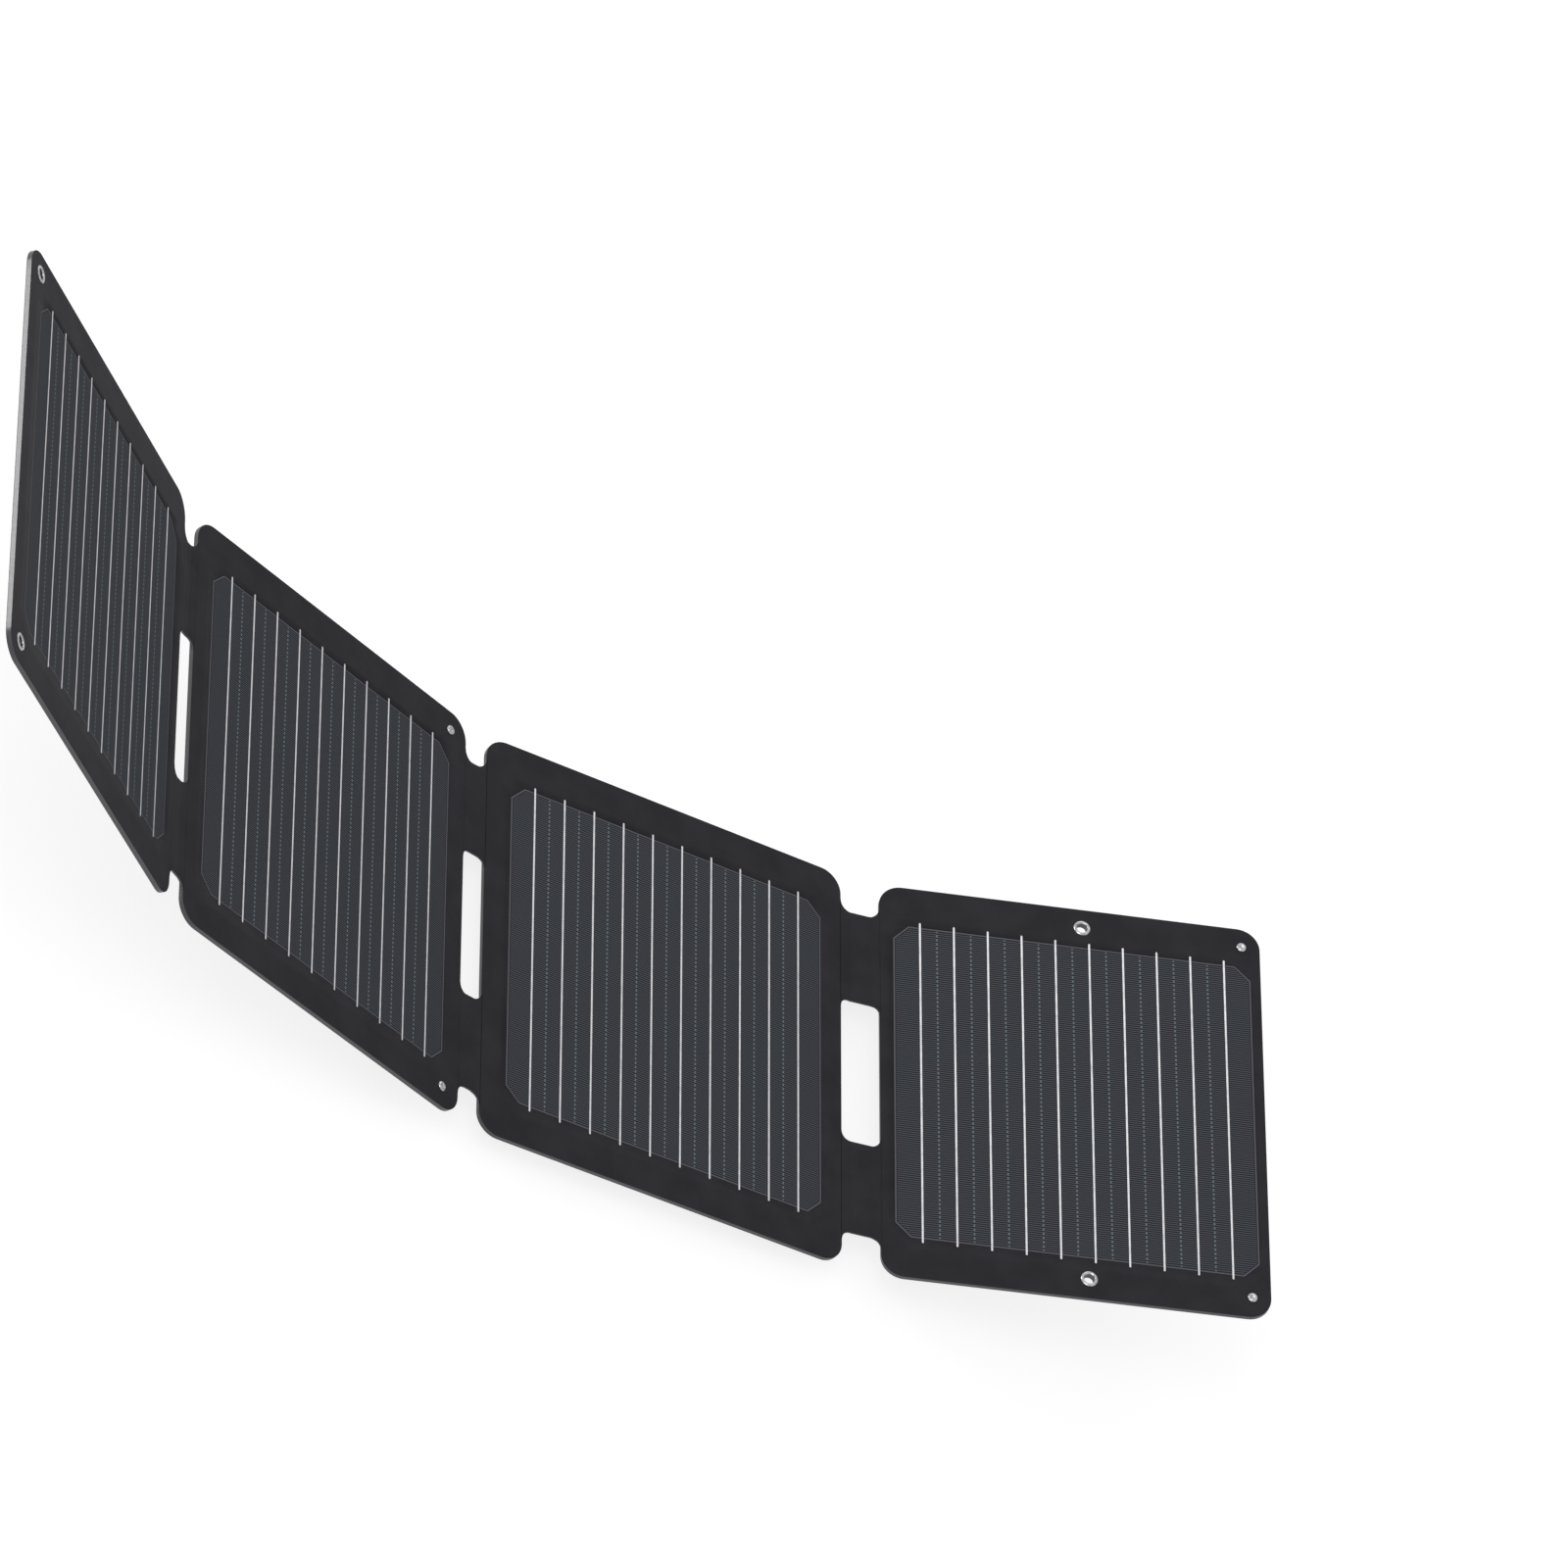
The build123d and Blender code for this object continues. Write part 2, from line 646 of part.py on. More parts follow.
def on_board(*spots):
    """Spots given from the middle of the power box."""
    return [(BOX_X + x, BOX_Y + y) for x, y in spots]


with BuildPart() as box_chips:
    with BuildSketch(BACK_PANEL.offset(PCB_TOP_Z - REGULATOR_T)):
        with Locations(*on_board(REGULATOR_AT)):
            RectangleRounded(REGULATOR_SIDE, REGULATOR_SIDE, PCB_T)
    extrude(amount=REGULATOR_T)
    with BuildSketch(BACK_PANEL.offset(PCB_TOP_Z - CHIP_T)):
        with Locations(*on_board(*CHIPS_AT)):
            Rectangle(CHIP_SIDE, CHIP_SIDE)
    extrude(amount=CHIP_T)
    with BuildSketch(BACK_PANEL.offset(PCB_TOP_Z - CAPACITOR_H)):
        with Locations(*on_board(*CAPACITORS_AT)):
            Circle(CAPACITOR_R)
    extrude(amount=CAPACITOR_H)
save(box_chips, "power_box_chips")

with BuildPart() as usb_a_shell:
    with BuildSketch(USB_A_PLANE.offset(-SOCKET_SET_BACK)):
        Rectangle(USB_A_W, USB_A_H)
        offset(amount=-USB_A_WALL, mode=Mode.SUBTRACT)
    extrude(amount=-USB_A_LENGTH)
save(usb_a_shell, "usb_a_shell")

TONGUE_A_DROP = USB_A_H / 2 - USB_A_WALL - USB_A_TONGUE_T / 2 - USB_A_TONGUE_LIFT
with BuildPart() as usb_a_tongue:
    with BuildSketch(USB_A_PLANE.offset(-SOCKET_SET_BACK - USB_A_LENGTH)):
        Rectangle(USB_A_W - 2 * USB_A_WALL - GAP, USB_A_H - 2 * USB_A_WALL - GAP)
    extrude(amount=USB_A_LENGTH - USB_A_TONGUE_LENGTH)
    with BuildSketch(USB_A_PLANE.offset(-SOCKET_SET_BACK - USB_A_TONGUE_LENGTH)):
        with Locations((0, TONGUE_A_DROP)):
            Rectangle(USB_A_TONGUE_W, USB_A_TONGUE_T)
    extrude(amount=USB_A_TONGUE_LENGTH - USB_A_TONGUE_BACK)
save(usb_a_tongue, "usb_a_tongue")

with BuildPart() as usb_c_shell:
    with BuildSketch(USB_C_PLANE.offset(-SOCKET_SET_BACK)):
        SlotOverall(USB_C_W, USB_C_H)
        offset(amount=-USB_C_WALL, mode=Mode.SUBTRACT)
    extrude(amount=-USB_C_LENGTH)
save(usb_c_shell, "usb_c_shell")

with BuildPart() as usb_c_tongue:
    with BuildSketch(USB_C_PLANE.offset(-SOCKET_SET_BACK - USB_C_LENGTH)):
        SlotOverall(USB_C_W - 2 * USB_C_WALL - GAP, USB_C_H - 2 * USB_C_WALL - GAP)
    extrude(amount=USB_C_LENGTH - USB_C_TONGUE_LENGTH)
    with BuildSketch(USB_C_PLANE.offset(-SOCKET_SET_BACK - USB_C_TONGUE_LENGTH)):
        Rectangle(USB_C_TONGUE_W, USB_C_TONGUE_T)
    extrude(amount=USB_C_TONGUE_LENGTH - USB_C_TONGUE_BACK)
save(usb_c_tongue, "usb_c_tongue")

with BuildPart() as box_screws:
    with BuildSketch(BACK_PANEL.offset(CAVITY_END_Z + SCREW_CLEAR)):
        with Locations(*BOSSES):
            Circle(SCREW_R)
    extrude(amount=BACK_Z - CAVITY_END_Z - SCREW_CLEAR - GAP)
    with BuildSketch(BACK_PANEL.offset(BACK_Z - SCREW_HEAD_T)):
        with Locations(*BOSSES):
            Circle(SCREW_HEAD_R)
    extrude(amount=SCREW_HEAD_T - GAP)
save(box_screws, "power_box_screws")

with BuildPart() as box_lead:
    with BuildSketch(BACK_PANEL.offset(BOX_SHELL_Z - PCB_LIFT + GAP)):
        with Locations((BOX_X, LEAD_Y)):
            Circle(LEAD_R)
    extrude(amount=BOX_BASE_T + PCB_LIFT + CLOTH + BOARD / 2)
save(box_lead, "power_box_lead")
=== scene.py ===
"""Looks of the folding solar charger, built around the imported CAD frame, in metres."""
import json
import math
import bmesh
import bpy
import numpy as np
from mathutils import Matrix, Vector
from mathutils.geometry import delaunay_2d_cdt


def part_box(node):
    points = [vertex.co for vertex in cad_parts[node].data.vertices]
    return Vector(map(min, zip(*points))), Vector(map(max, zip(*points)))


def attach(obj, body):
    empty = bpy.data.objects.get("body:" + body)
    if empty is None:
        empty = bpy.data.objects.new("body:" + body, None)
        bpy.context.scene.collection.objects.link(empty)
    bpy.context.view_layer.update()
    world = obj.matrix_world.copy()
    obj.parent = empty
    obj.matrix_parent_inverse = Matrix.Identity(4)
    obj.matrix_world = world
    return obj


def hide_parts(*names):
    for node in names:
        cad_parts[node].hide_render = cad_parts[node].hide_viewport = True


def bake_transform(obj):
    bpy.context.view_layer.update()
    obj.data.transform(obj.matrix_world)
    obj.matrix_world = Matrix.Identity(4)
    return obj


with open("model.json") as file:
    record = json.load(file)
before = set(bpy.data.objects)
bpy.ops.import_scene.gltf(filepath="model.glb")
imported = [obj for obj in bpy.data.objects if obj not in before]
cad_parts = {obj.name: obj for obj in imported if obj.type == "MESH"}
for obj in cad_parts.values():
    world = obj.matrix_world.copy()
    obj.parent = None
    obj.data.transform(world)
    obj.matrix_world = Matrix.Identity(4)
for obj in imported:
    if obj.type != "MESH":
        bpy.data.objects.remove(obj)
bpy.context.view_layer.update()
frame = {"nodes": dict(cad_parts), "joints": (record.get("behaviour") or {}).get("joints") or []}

MM = 0.001
SCENE = bpy.context.scene
NODES = frame["nodes"]
JOINTS = {joint["name"]: joint for joint in frame["joints"]}

# Sizes shared with the CAD design, in millimetres
EDGE_LEFT = {1: 90.5, 2: 89.0, 3: 91.0, 4: 84.5}
EDGE_RIGHT = {1: 87.0, 2: 89.5, 3: 89.0, 4: 83.0}
TAB_LEFT = {1: 4.2, 2: 3.0, 3: 4.9}
TAB_RIGHT = {1: 4.2, 2: 3.0, 3: 3.3}
SPINE = {1: 2.8, 2: 6.1, 3: 10.1}
PANEL_HALF_Y = 98.1
PANEL_CORNER = 10.0
PANEL_T = 2.4
FILM_T = 0.5
BAND_T = 1.2
BAND_INNER = 35.5
BAND_OUTER = 80.7
SLOT_ROUND = 4.0
NOTCH_ROUND = 5.0
CELL_HALF = 78.4
CELL_CHAMFER = 6.7
CELL_TOP = -0.05
CELL_MIDDLE = (CELL_TOP - FILM_T) / 2
WINDOW_GAP = 0.1
WIRE_PITCH = 14.83
EYELET_R = 2.25
EYELET_BARREL_R = 2.6
EYELET_HOLE_R = 2.65
EYELET_FLANGE_R = 3.7
EYELET_FLANGE_T = 0.4
EYELET_LIP_R = 3.2
EYELET_LIP_T = 0.25
STUD_R = 2.25
STUD_PROUD = 0.9
FILM_ROUND = 0.2
POCKET_LEFT = -71.5
POCKET_RIGHT = 73.5
POCKET_TOP = 47.0
POCKET_BOTTOM = -96.5
POCKET_CORNER = 30.0
BACK_ROUND = 0.3
BOX_X = 2.0
BOX_Y = 74.1
BOX_SIDE = 48.0
BOX_BULGE = 1.2
BOX_CORNER = 12.5
COVER_HIGH = -13.4
COVER_LOW = -15.4
COVER_ROUND = 0.9
COVER_STEP = 0.5
WINDOW_SIDE = 19.7
WINDOW_BULGE = 0.6
WINDOW_CORNER = 4.6
WINDOW_ROUND = 0.2

PANEL_BODY = {1: "panel_1", 2: "panel_2", 3: "hub_panel", 4: "panel_4"}

# -------- placing things


class Place:
    """The frame of one panel or spine: x along the strip, y along the creases, z out of the front."""

    def __init__(self, origin, turn):
        self.origin = Vector(origin)
        self.turn = turn
        self.x = Vector((math.cos(turn), 0, -math.sin(turn)))
        self.y = Vector((0, 1, 0))
        self.z = Vector((math.sin(turn), 0, math.cos(turn)))

    def at(self, x, y, z):
        """A point given in this frame's millimetres, in the row frame's metres."""
        return self.origin + (self.x * x + self.y * y + self.z * z) * MM


def body_turns():
    """Turn about +Y of every panel and spine at rest, in radians."""
    half = {hinge: math.radians(-JOINTS[f"fold_{hinge}_inner"]["range_deg"][0]) for hinge in (1, 2, 3)}
    return {
        "panel_3": 0.0,
        "spine_2": half[2],
        "panel_2": 2 * half[2],
        "spine_1": 2 * half[2] + half[1],
        "panel_1": 2 * half[2] + 2 * half[1],
        "spine_3": -half[3],
        "panel_4": -2 * half[3],
    }


def panel_place(panel):
    """A panel's frame, found from the middle of its cell."""
    low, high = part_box(f"panel_{panel}_cell")
    place = Place((low + high) / 2, TURNS[f"panel_{panel}"])
    place.origin = place.at(0, 0, -CELL_MIDDLE)
    return place


TURNS = body_turns()
PLACES = {panel: panel_place(panel) for panel in (1, 2, 3, 4)}
HUB = PLACES[3]


def flat_offsets():
    """How far each panel's middle lies along the strip when it is unrolled flat."""
    offsets = {3: 0.0}
    for hinge in (2, 1):
        gap = TAB_LEFT[hinge] + SPINE[hinge] + TAB_RIGHT[hinge]
        offsets[hinge] = offsets[hinge + 1] - EDGE_LEFT[hinge + 1] - gap - EDGE_RIGHT[hinge]
    gap = TAB_LEFT[3] + SPINE[3] + TAB_RIGHT[3]
    offsets[4] = EDGE_RIGHT[3] + gap + EDGE_LEFT[4]
    return offsets


FLAT_X = flat_offsets()


def spots_on(place, node):
    """Where a node's separate solids stand on a panel, as local (x, y) pairs above and below the middle."""
    mesh = NODES[node].data
    spots = []
    for side in (1, -1):
        points = [v.co for v in mesh.vertices if v.co.y * side > 0]
        low = Vector([min(p[i] for p in points) for i in range(3)])
        high = Vector([max(p[i] for p in points) for i in range(3)])
        middle = ((low + high) / 2 - place.origin) / MM
        spots.append((middle.dot(place.x), middle.dot(place.y)))
    return spots


# -------- mesh building


def add_object(name, data):
    made = bpy.data.objects.new(name, data)
    SCENE.collection.objects.link(made)
    return made


class Mesh:
    """Gathers points, faces, flat-strip UVs and material numbers, in a place's millimetres."""

    def __init__(self, place=None):
        self.place = place
        self.points = []
        self.faces = []
        self.uvs = []
        self.slots = []

    def point(self, x, y, z):
        position = self.place.at(x, y, z) if self.place else Vector((x, y, z)) * MM
        self.points.append(position)
        return len(self.points) - 1

    def face(self, corners, uvs=None, slot=0):
        self.faces.append(corners)
        self.uvs.append(uvs)
        self.slots.append(slot)

    def strip(self, ring_a, ring_b, uv_a=None, uv_b=None, closed=True, slot=0):
        """Quads between two rings of point numbers."""
        count = len(ring_a)
        for i in range(count if closed else count - 1):
            j = (i + 1) % count
            uvs = [uv_a[i], uv_a[j], uv_b[j], uv_b[i]] if uv_a else None
            self.face([ring_a[i], ring_a[j], ring_b[j], ring_b[i]], uvs, slot)

    def build(self, name, materials, smooth=True, merge=1e-6):
        data = bpy.data.meshes.new(name)
        data.from_pydata(self.points, [], self.faces)
        layer = data.uv_layers.new(name="UVMap")
        for polygon, uvs, slot in zip(data.polygons, self.uvs, self.slots):
            polygon.material_index = slot
            polygon.use_smooth = smooth
            for loop, corner in enumerate(polygon.loop_indices):
                layer.data[corner].uv = uvs[loop] if uvs else (0, 0)
        work = bmesh.new()
        work.from_mesh(data)
        bmesh.ops.remove_doubles(work, verts=work.verts, dist=merge)
        bmesh.ops.recalc_face_normals(work, faces=work.faces)
        work.to_mesh(data)
        work.free()
        for material in materials:
            data.materials.append(material)
        return add_object(name, data)


def rounded_rect(left, right, half_y, radius, steps=10, gap=6.0):
    """Outline of a rounded rectangle as (x, y, outward normal x, outward normal y), anticlockwise."""
    corners = [(right - radius, half_y - radius, 0), (left + radius, half_y - radius, 90),
               (left + radius, radius - half_y, 180), (right - radius, radius - half_y, 270)]
    outline = []
    for cx, cy, start in corners:
        for i in range(steps + 1):
            angle = math.radians(start + 90 * i / steps)
            nx, ny = math.cos(angle), math.sin(angle)
            outline.append((cx + radius * nx, cy + radius * ny, nx, ny))
    dense = []
    for a, b in zip(outline, outline[1:] + outline[:1]):
        dense.append(a)
        length = math.hypot(b[0] - a[0], b[1] - a[1])
        parts = max(1, round(length / gap))
        for k in range(1, parts):
            f = k / parts
            dense.append((a[0] + (b[0] - a[0]) * f, a[1] + (b[1] - a[1]) * f, a[2], a[3]))
    return dense


def inset_ring(outline, inset):
    """The outline drawn in by a distance, as (x, y) pairs."""
    return [(x - nx * inset, y - ny * inset) for x, y, nx, ny in outline]


def bulged_square(cx, cy, side, bulge, corner, steps=12):
    """Outline of a rounded square with bowed sides, as (x, y, outward normal x, outward normal y)."""
    tip = side / 2 - bulge
    radius = (tip * tip + bulge * bulge) / (2 * bulge)
    shift, reach = radius - side / 2, radius - corner
    centre = (math.sqrt(2 * reach * reach - shift * shift) - shift) / 2
    start = math.atan2(centre, centre + shift)
    outline = []
    for quadrant in range(4):
        side_arc = ((0.0, -shift), radius, -start, start)
        corner_arc = ((centre, centre), corner, start, math.pi / 2 - start)
        for (mx, my), bend, low, high in (side_arc, corner_arc):
            for i in range(steps):
                angle = low + (high - low) * i / steps
                nx, ny = math.sin(angle), math.cos(angle)
                x, y = mx + bend * nx, my + bend * ny
                for _ in range(quadrant):
                    x, y, nx, ny = y, -x, ny, -nx
                outline.append((cx + x, cy + y, nx, ny))
    return outline


def circle(cx, cy, radius, steps=40):
    turns = [2 * math.pi * i / steps for i in range(steps)]
    return [(cx + radius * math.cos(turn), cy + radius * math.sin(turn)) for turn in turns]


def cut_square(half, chamfer, gap=6.0):
    """Outline of a square with cut corners, with points along its sides."""
    near = half - chamfer
    corners = [(half, -near), (half, near), (near, half), (-near, half),
               (-half, near), (-half, -near), (-near, -half), (near, -half)]
    dense = []
    for a, b in zip(corners, corners[1:] + corners[:1]):
        parts = max(1, round(math.hypot(b[0] - a[0], b[1] - a[1]) / gap))
        dense += [(a[0] + (b[0] - a[0]) * k / parts, a[1] + (b[1] - a[1]) * k / parts) for k in range(parts)]
    return dense


def inside(polygon, x, y):
    """Which of the points x, y lie inside a polygon, as a mask."""
    hits = np.zeros(len(x), bool)
    for (x0, y0), (x1, y1) in zip(polygon, polygon[1:] + polygon[:1]):
        crosses = (y0 > y) != (y1 > y)
        with np.errstate(divide="ignore", invalid="ignore"):
            at = (x1 - x0) * (y - y0) / (y1 - y0) + x0
        hits ^= crosses & (x < at)
    return hits


BORDER_CLEARANCE = 0.45


def fill(outer, holes, spacing):
    """Triangles filling an outline round its holes, with a grid of points kept clear of the border."""
    loops = [outer] + holes
    points, edges = [], []
    for loop in loops:
        first = len(points)
        points += loop
        edges += [(first + i, first + (i + 1) % len(loop)) for i in range(len(loop))]
    xs, ys = [p[0] for p in outer], [p[1] for p in outer]
    gx, gy = np.meshgrid(np.arange(min(xs) + spacing, max(xs), spacing),
                         np.arange(min(ys) + spacing, max(ys), spacing))
    gx, gy = gx.ravel(), gy.ravel()
    border = np.array(points)
    keep = inside(outer, gx, gy)
    for hole in holes:
        keep &= ~inside(hole, gx, gy)
    to_border = [np.min((border[:, 0] - x) ** 2 + (border[:, 1] - y) ** 2) for x, y in zip(gx, gy)]
    keep &= np.array(to_border) > (spacing * BORDER_CLEARANCE) ** 2
    points += list(zip(gx[keep], gy[keep]))
    found, _, faces, *_ = delaunay_2d_cdt([Vector(p) for p in points], edges, [], 0, 1e-7)
    middle = np.array([np.mean([found[i] for i in face], axis=0) for face in faces])
    good = inside(outer, middle[:, 0], middle[:, 1])
    for hole in holes:
        good &= ~inside(hole, middle[:, 0], middle[:, 1])
    return [tuple(p) for p in found], [list(face) for face, ok in zip(faces, good) if ok]


def lathe(name, place, spots, profile, materials, steps=56, closed=True):
    """Turned metal piece at each spot, from (radius, height) pairs.

    A second material, if there is one, goes on the first span of the profile.
    """
    mesh = Mesh(place)
    for cx, cy in spots:
        rings = []
        for radius, height in profile:
            if radius < 1e-6:
                rings.append([mesh.point(cx, cy, height)] * steps)
            else:
                rings.append([mesh.point(x, y, height) for x, y in circle(cx, cy, radius, steps)])
        pairs = list(zip(rings, rings[1:]))
        if closed:
            pairs.append((rings[-1], rings[0]))
        for number, (a, b) in enumerate(pairs):
            slot = 1 if number == 0 and len(materials) > 1 else 0
            for i in range(steps):
                j = (i + 1) % steps
                corners = list(dict.fromkeys([a[i], a[j], b[j], b[i]]))
                if len(corners) > 2:
                    mesh.face(corners, slot=slot)
    return mesh.build(name, materials)


def tie(piece, body, slot, *stood_for):
    """Ties a piece to its body and hides the CAD nodes it stands for; the slot argument is not used."""
    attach(piece, body)
    if stood_for:
        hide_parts(*stood_for)


# -------- materials


def srgb(red, green, blue):
    """A screen colour, 0 to 255, as the linear colour a shader takes."""
    def linear(value):
        value /= 255
        return value / 12.92 if value <= 0.04045 else ((value + 0.055) / 1.055) ** 2.4
    return (linear(red), linear(green), linear(blue), 1.0)


class Shader:
    """Builds one procedural material, node by node."""

    def __init__(self, name, **settings):
        self.material = bpy.data.materials.new(name)
        self.material.use_nodes = True
        self.nodes = self.material.node_tree.nodes
        self.links = self.material.node_tree.links
        self.surface = self.nodes["Principled BSDF"]
        self.set(**settings)

    def feed(self, socket, value):
        if isinstance(value, bpy.types.NodeSocket):
            self.links.new(value, socket)
        else:
            socket.default_value = value

    def set(self, **settings):
        """Principled inputs by name, with underscores for spaces."""
        for name, value in settings.items():
            self.feed(self.surface.inputs[name.replace("_", " ")], value)

    def node(self, kind, inputs=(), output=0, **properties):
        """An output of a new node, with its inputs given by name or number."""
        made = self.nodes.new("ShaderNode" + kind)
        for name, value in properties.items():
            setattr(made, name, value)
        for key, value in dict(inputs).items():
            self.feed(made.inputs[key], value)
        return made.outputs[output]

    def math(self, operation, a, b=0.0, c=0.0):
        return self.node("Math", {0: a, 1: b, 2: c}, operation=operation)

    def times(self, a, b):
        return self.math("MULTIPLY", a, b)

    def plus(self, a, b):
        return self.math("ADD", a, b)

    def limit(self, value, low, high, to_low=0.0, to_high=1.0):
        """A smooth step of value from low to high."""
        inputs = {"Value": value, "From Min": low, "From Max": high, "To Min": to_low, "To Max": to_high}
        return self.node("MapRange", inputs, interpolation_type="SMOOTHSTEP")

    def mix(self, factor, a, b):
        return self.node("Mix", {0: factor, 6: a, 7: b}, output=2, data_type="RGBA")

    def choose(self, factor, a, b):
        """Mix of two plain values."""
        return self.node("Mix", {0: factor, 2: a, 3: b}, data_type="FLOAT")

    def wave(self, turns):
        """How far a running value is from the middle of its repeat, 0 to 0.5."""
        return self.math("ABSOLUTE", self.math("SUBTRACT", self.math("FRACT", turns), 0.5))

    def uv_mm(self):
        """Flat-strip coordinates in millimetres, split in two, with the whole vector third."""
        uv = self.node("UVMap", uv_map="UVMap")
        u, v, _ = self.split(uv)
        return u, v, uv

    def object_mm(self, place=None):
        """Object coordinates in millimetres, in a panel's own frame if one is given."""
        position = self.nodes.new("ShaderNodeTexCoord").outputs["Object"]
        if place:
            inputs = {"Vector": position, "Location": tuple(place.origin), "Rotation": (0, place.turn, 0)}
            position = self.node("Mapping", inputs, vector_type="TEXTURE")
        return self.node("VectorMath", {0: position, 1: (1 / MM,) * 3}, operation="MULTIPLY")

    def split(self, vector):
        parts = self.nodes.new("ShaderNodeSeparateXYZ")
        self.links.new(vector, parts.inputs[0])
        return parts.outputs[0], parts.outputs[1], parts.outputs[2]

    def join(self, x, y, z=0.0):
        return self.node("CombineXYZ", {0: x, 1: y, 2: z})

    def noise(self, vector, scale, detail=3.0, roughness=0.5):
        inputs = {"Vector": vector, "Scale": scale, "Detail": detail, "Roughness": roughness}
        return self.node("TexNoise", inputs)

    def random(self, vector):
        return self.node("TexWhiteNoise", {"Vector": vector}, noise_dimensions="3D")

    def bump(self, height, distance, strength=1.0, normal=None):
        """Bump with a height of 0 to 1 standing for 0 to distance, in millimetres."""
        inputs = {"Strength": strength, "Distance": distance * MM, "Height": height}
        if normal is not None:
            inputs["Normal"] = normal
        return self.node("Bump", inputs)


# Spacing of the weave and of the cell's printed fingers, in millimetres
WEAVE_X = 1.21
WEAVE_Y = 1.47
FINGER_PITCH = 1.06

# Pairs of tones between which a material drifts
YARN_DARK = (srgb(38, 37, 42), srgb(35, 40, 43))
YARN_LIGHT = (srgb(118, 115, 124), srgb(107, 118, 123))
YARN_GAP = srgb(18, 18, 21)
FILM_TONES = (srgb(35, 34, 38), srgb(41, 40, 44))
EDGE_TONES = (srgb(38, 37, 42), srgb(44, 43, 49))
SILICON_TONES = (srgb(42, 40, 45), srgb(39, 42, 46))
FINGER_TONE = srgb(76, 79, 84)
SOLDER_TONE = srgb(98, 108, 112)
CELL_RIM_TONE = srgb(88, 86, 91)


def threads(shader, across, pitch, uv, wobble_scale):
    """Which thread a point is on, and how high the thread's arch is there; threads wobble slightly."""
    wobble = shader.math("MULTIPLY_ADD", shader.noise(uv, wobble_scale, 2.0), 0.5, -0.25)
    run = shader.plus(shader.math("DIVIDE", across, pitch), wobble)
    arch = shader.math("SINE", shader.times(shader.math("FRACT", run), math.pi))
    return shader.math("FLOOR", run), arch


def crown(shader, across, along):
    """Height of a thread where it lies on top: round across, flatter along."""
    return shader.times(shader.math("POWER", across, 0.8), shader.math("POWER", along, 0.35))


def woven_cloth(name="woven_cloth", depth=1.0):
    """Anthracite plain weave with paler flecks in single threads; depth is how far the light threads show."""
    shader = Shader(name, Roughness=0.86, Specular_IOR_Level=0.25, Sheen_Weight=0.12, Sheen_Roughness=0.5)
    u, v, uv = shader.uv_mm()
    warp, arch_warp = threads(shader, u, WEAVE_X, uv, 0.35)
    weft, arch_weft = threads(shader, v, WEAVE_Y, uv, 0.41)
    over = shader.math("FLOORED_MODULO", shader.plus(warp, weft), 2.0)
    height = shader.choose(over, crown(shader, arch_warp, arch_weft), crown(shader, arch_weft, arch_warp))
    warp_tone = shader.random(shader.join(warp, 3.0))
    weft_tone = shader.random(shader.join(7.0, weft))
    thread_tone = shader.choose(over, warp_tone, weft_tone)
    fleck = shader.limit(shader.random(shader.join(warp, weft, 1.0)), 0.45, 1.0)
    fibre = shader.noise(shader.join(shader.times(u, 9.0), shader.times(v, 9.0)), 1.0, 2.0)
    tone = shader.math("MULTIPLY_ADD", thread_tone, 0.16, shader.times(fleck, 0.30))
    tone = shader.math("MULTIPLY_ADD", fibre, 0.22, tone)
    tone = shader.times(shader.math("MULTIPLY_ADD", over, 0.42, tone), depth)
    drift = shader.limit(shader.noise(uv, 0.05, 2.0), 0.4, 0.6)
    yarn = shader.mix(tone, shader.mix(drift, *YARN_DARK), shader.mix(drift, *YARN_LIGHT))
    shader.set(Base_Color=shader.mix(shader.limit(height, 0.05, 0.8), YARN_GAP, yarn))
    relief = shader.math("MULTIPLY_ADD", fibre, 0.25, height)
    shader.set(Normal=shader.bump(relief, 0.28))
    return shader.material


def front_film():
    """Matt black laminate, slightly mottled, with a fine press grain and a faint ripple."""
    shader = Shader("front_film", Specular_IOR_Level=0.1)
    _, _, uv = shader.uv_mm()
    mottle = shader.noise(uv, 0.06, 4.0)
    grain = shader.noise(uv, 2.6, 3.0, 0.65)
    shader.set(Base_Color=shader.mix(shader.limit(mottle, 0.3, 0.7), *FILM_TONES),
               Roughness=shader.limit(grain, 0.2, 0.8, 0.52, 0.68))
    ripple = shader.bump(shader.noise(uv, 0.045, 1.0), 0.35)
    shader.set(Normal=shader.bump(grain, 0.035, 1.0, ripple))
    return shader.material


def to_cell_edge(shader, across, up):
    """Distance from a point of the cell to its nearest side or cut corner."""
    to_side = shader.math("SUBTRACT", CELL_HALF, shader.math("MAXIMUM", across, up))
    past_cut = shader.math("SUBTRACT", 2 * CELL_HALF - CELL_CHAMFER, shader.plus(across, up))
    return shader.math("MINIMUM", to_side, shader.times(past_cut, math.sqrt(0.5)))


def solder_dots(shader, x, y, across):
    """Dotted lines of solder under the wires, without the two outermost wires."""
    bar_wave = shader.wave(shader.plus(shader.math("DIVIDE", x, WIRE_PITCH), 0.5))
    bar = shader.limit(bar_wave, 0.030, 0.018)
    dash = shader.limit(shader.wave(shader.math("DIVIDE", y, 2 * FINGER_PITCH)), 0.32, 0.22)
    inner_bars = shader.limit(across, 4.4 * WIRE_PITCH, 4.3 * WIRE_PITCH)
    return shader.times(shader.times(bar, dash), inner_bars)


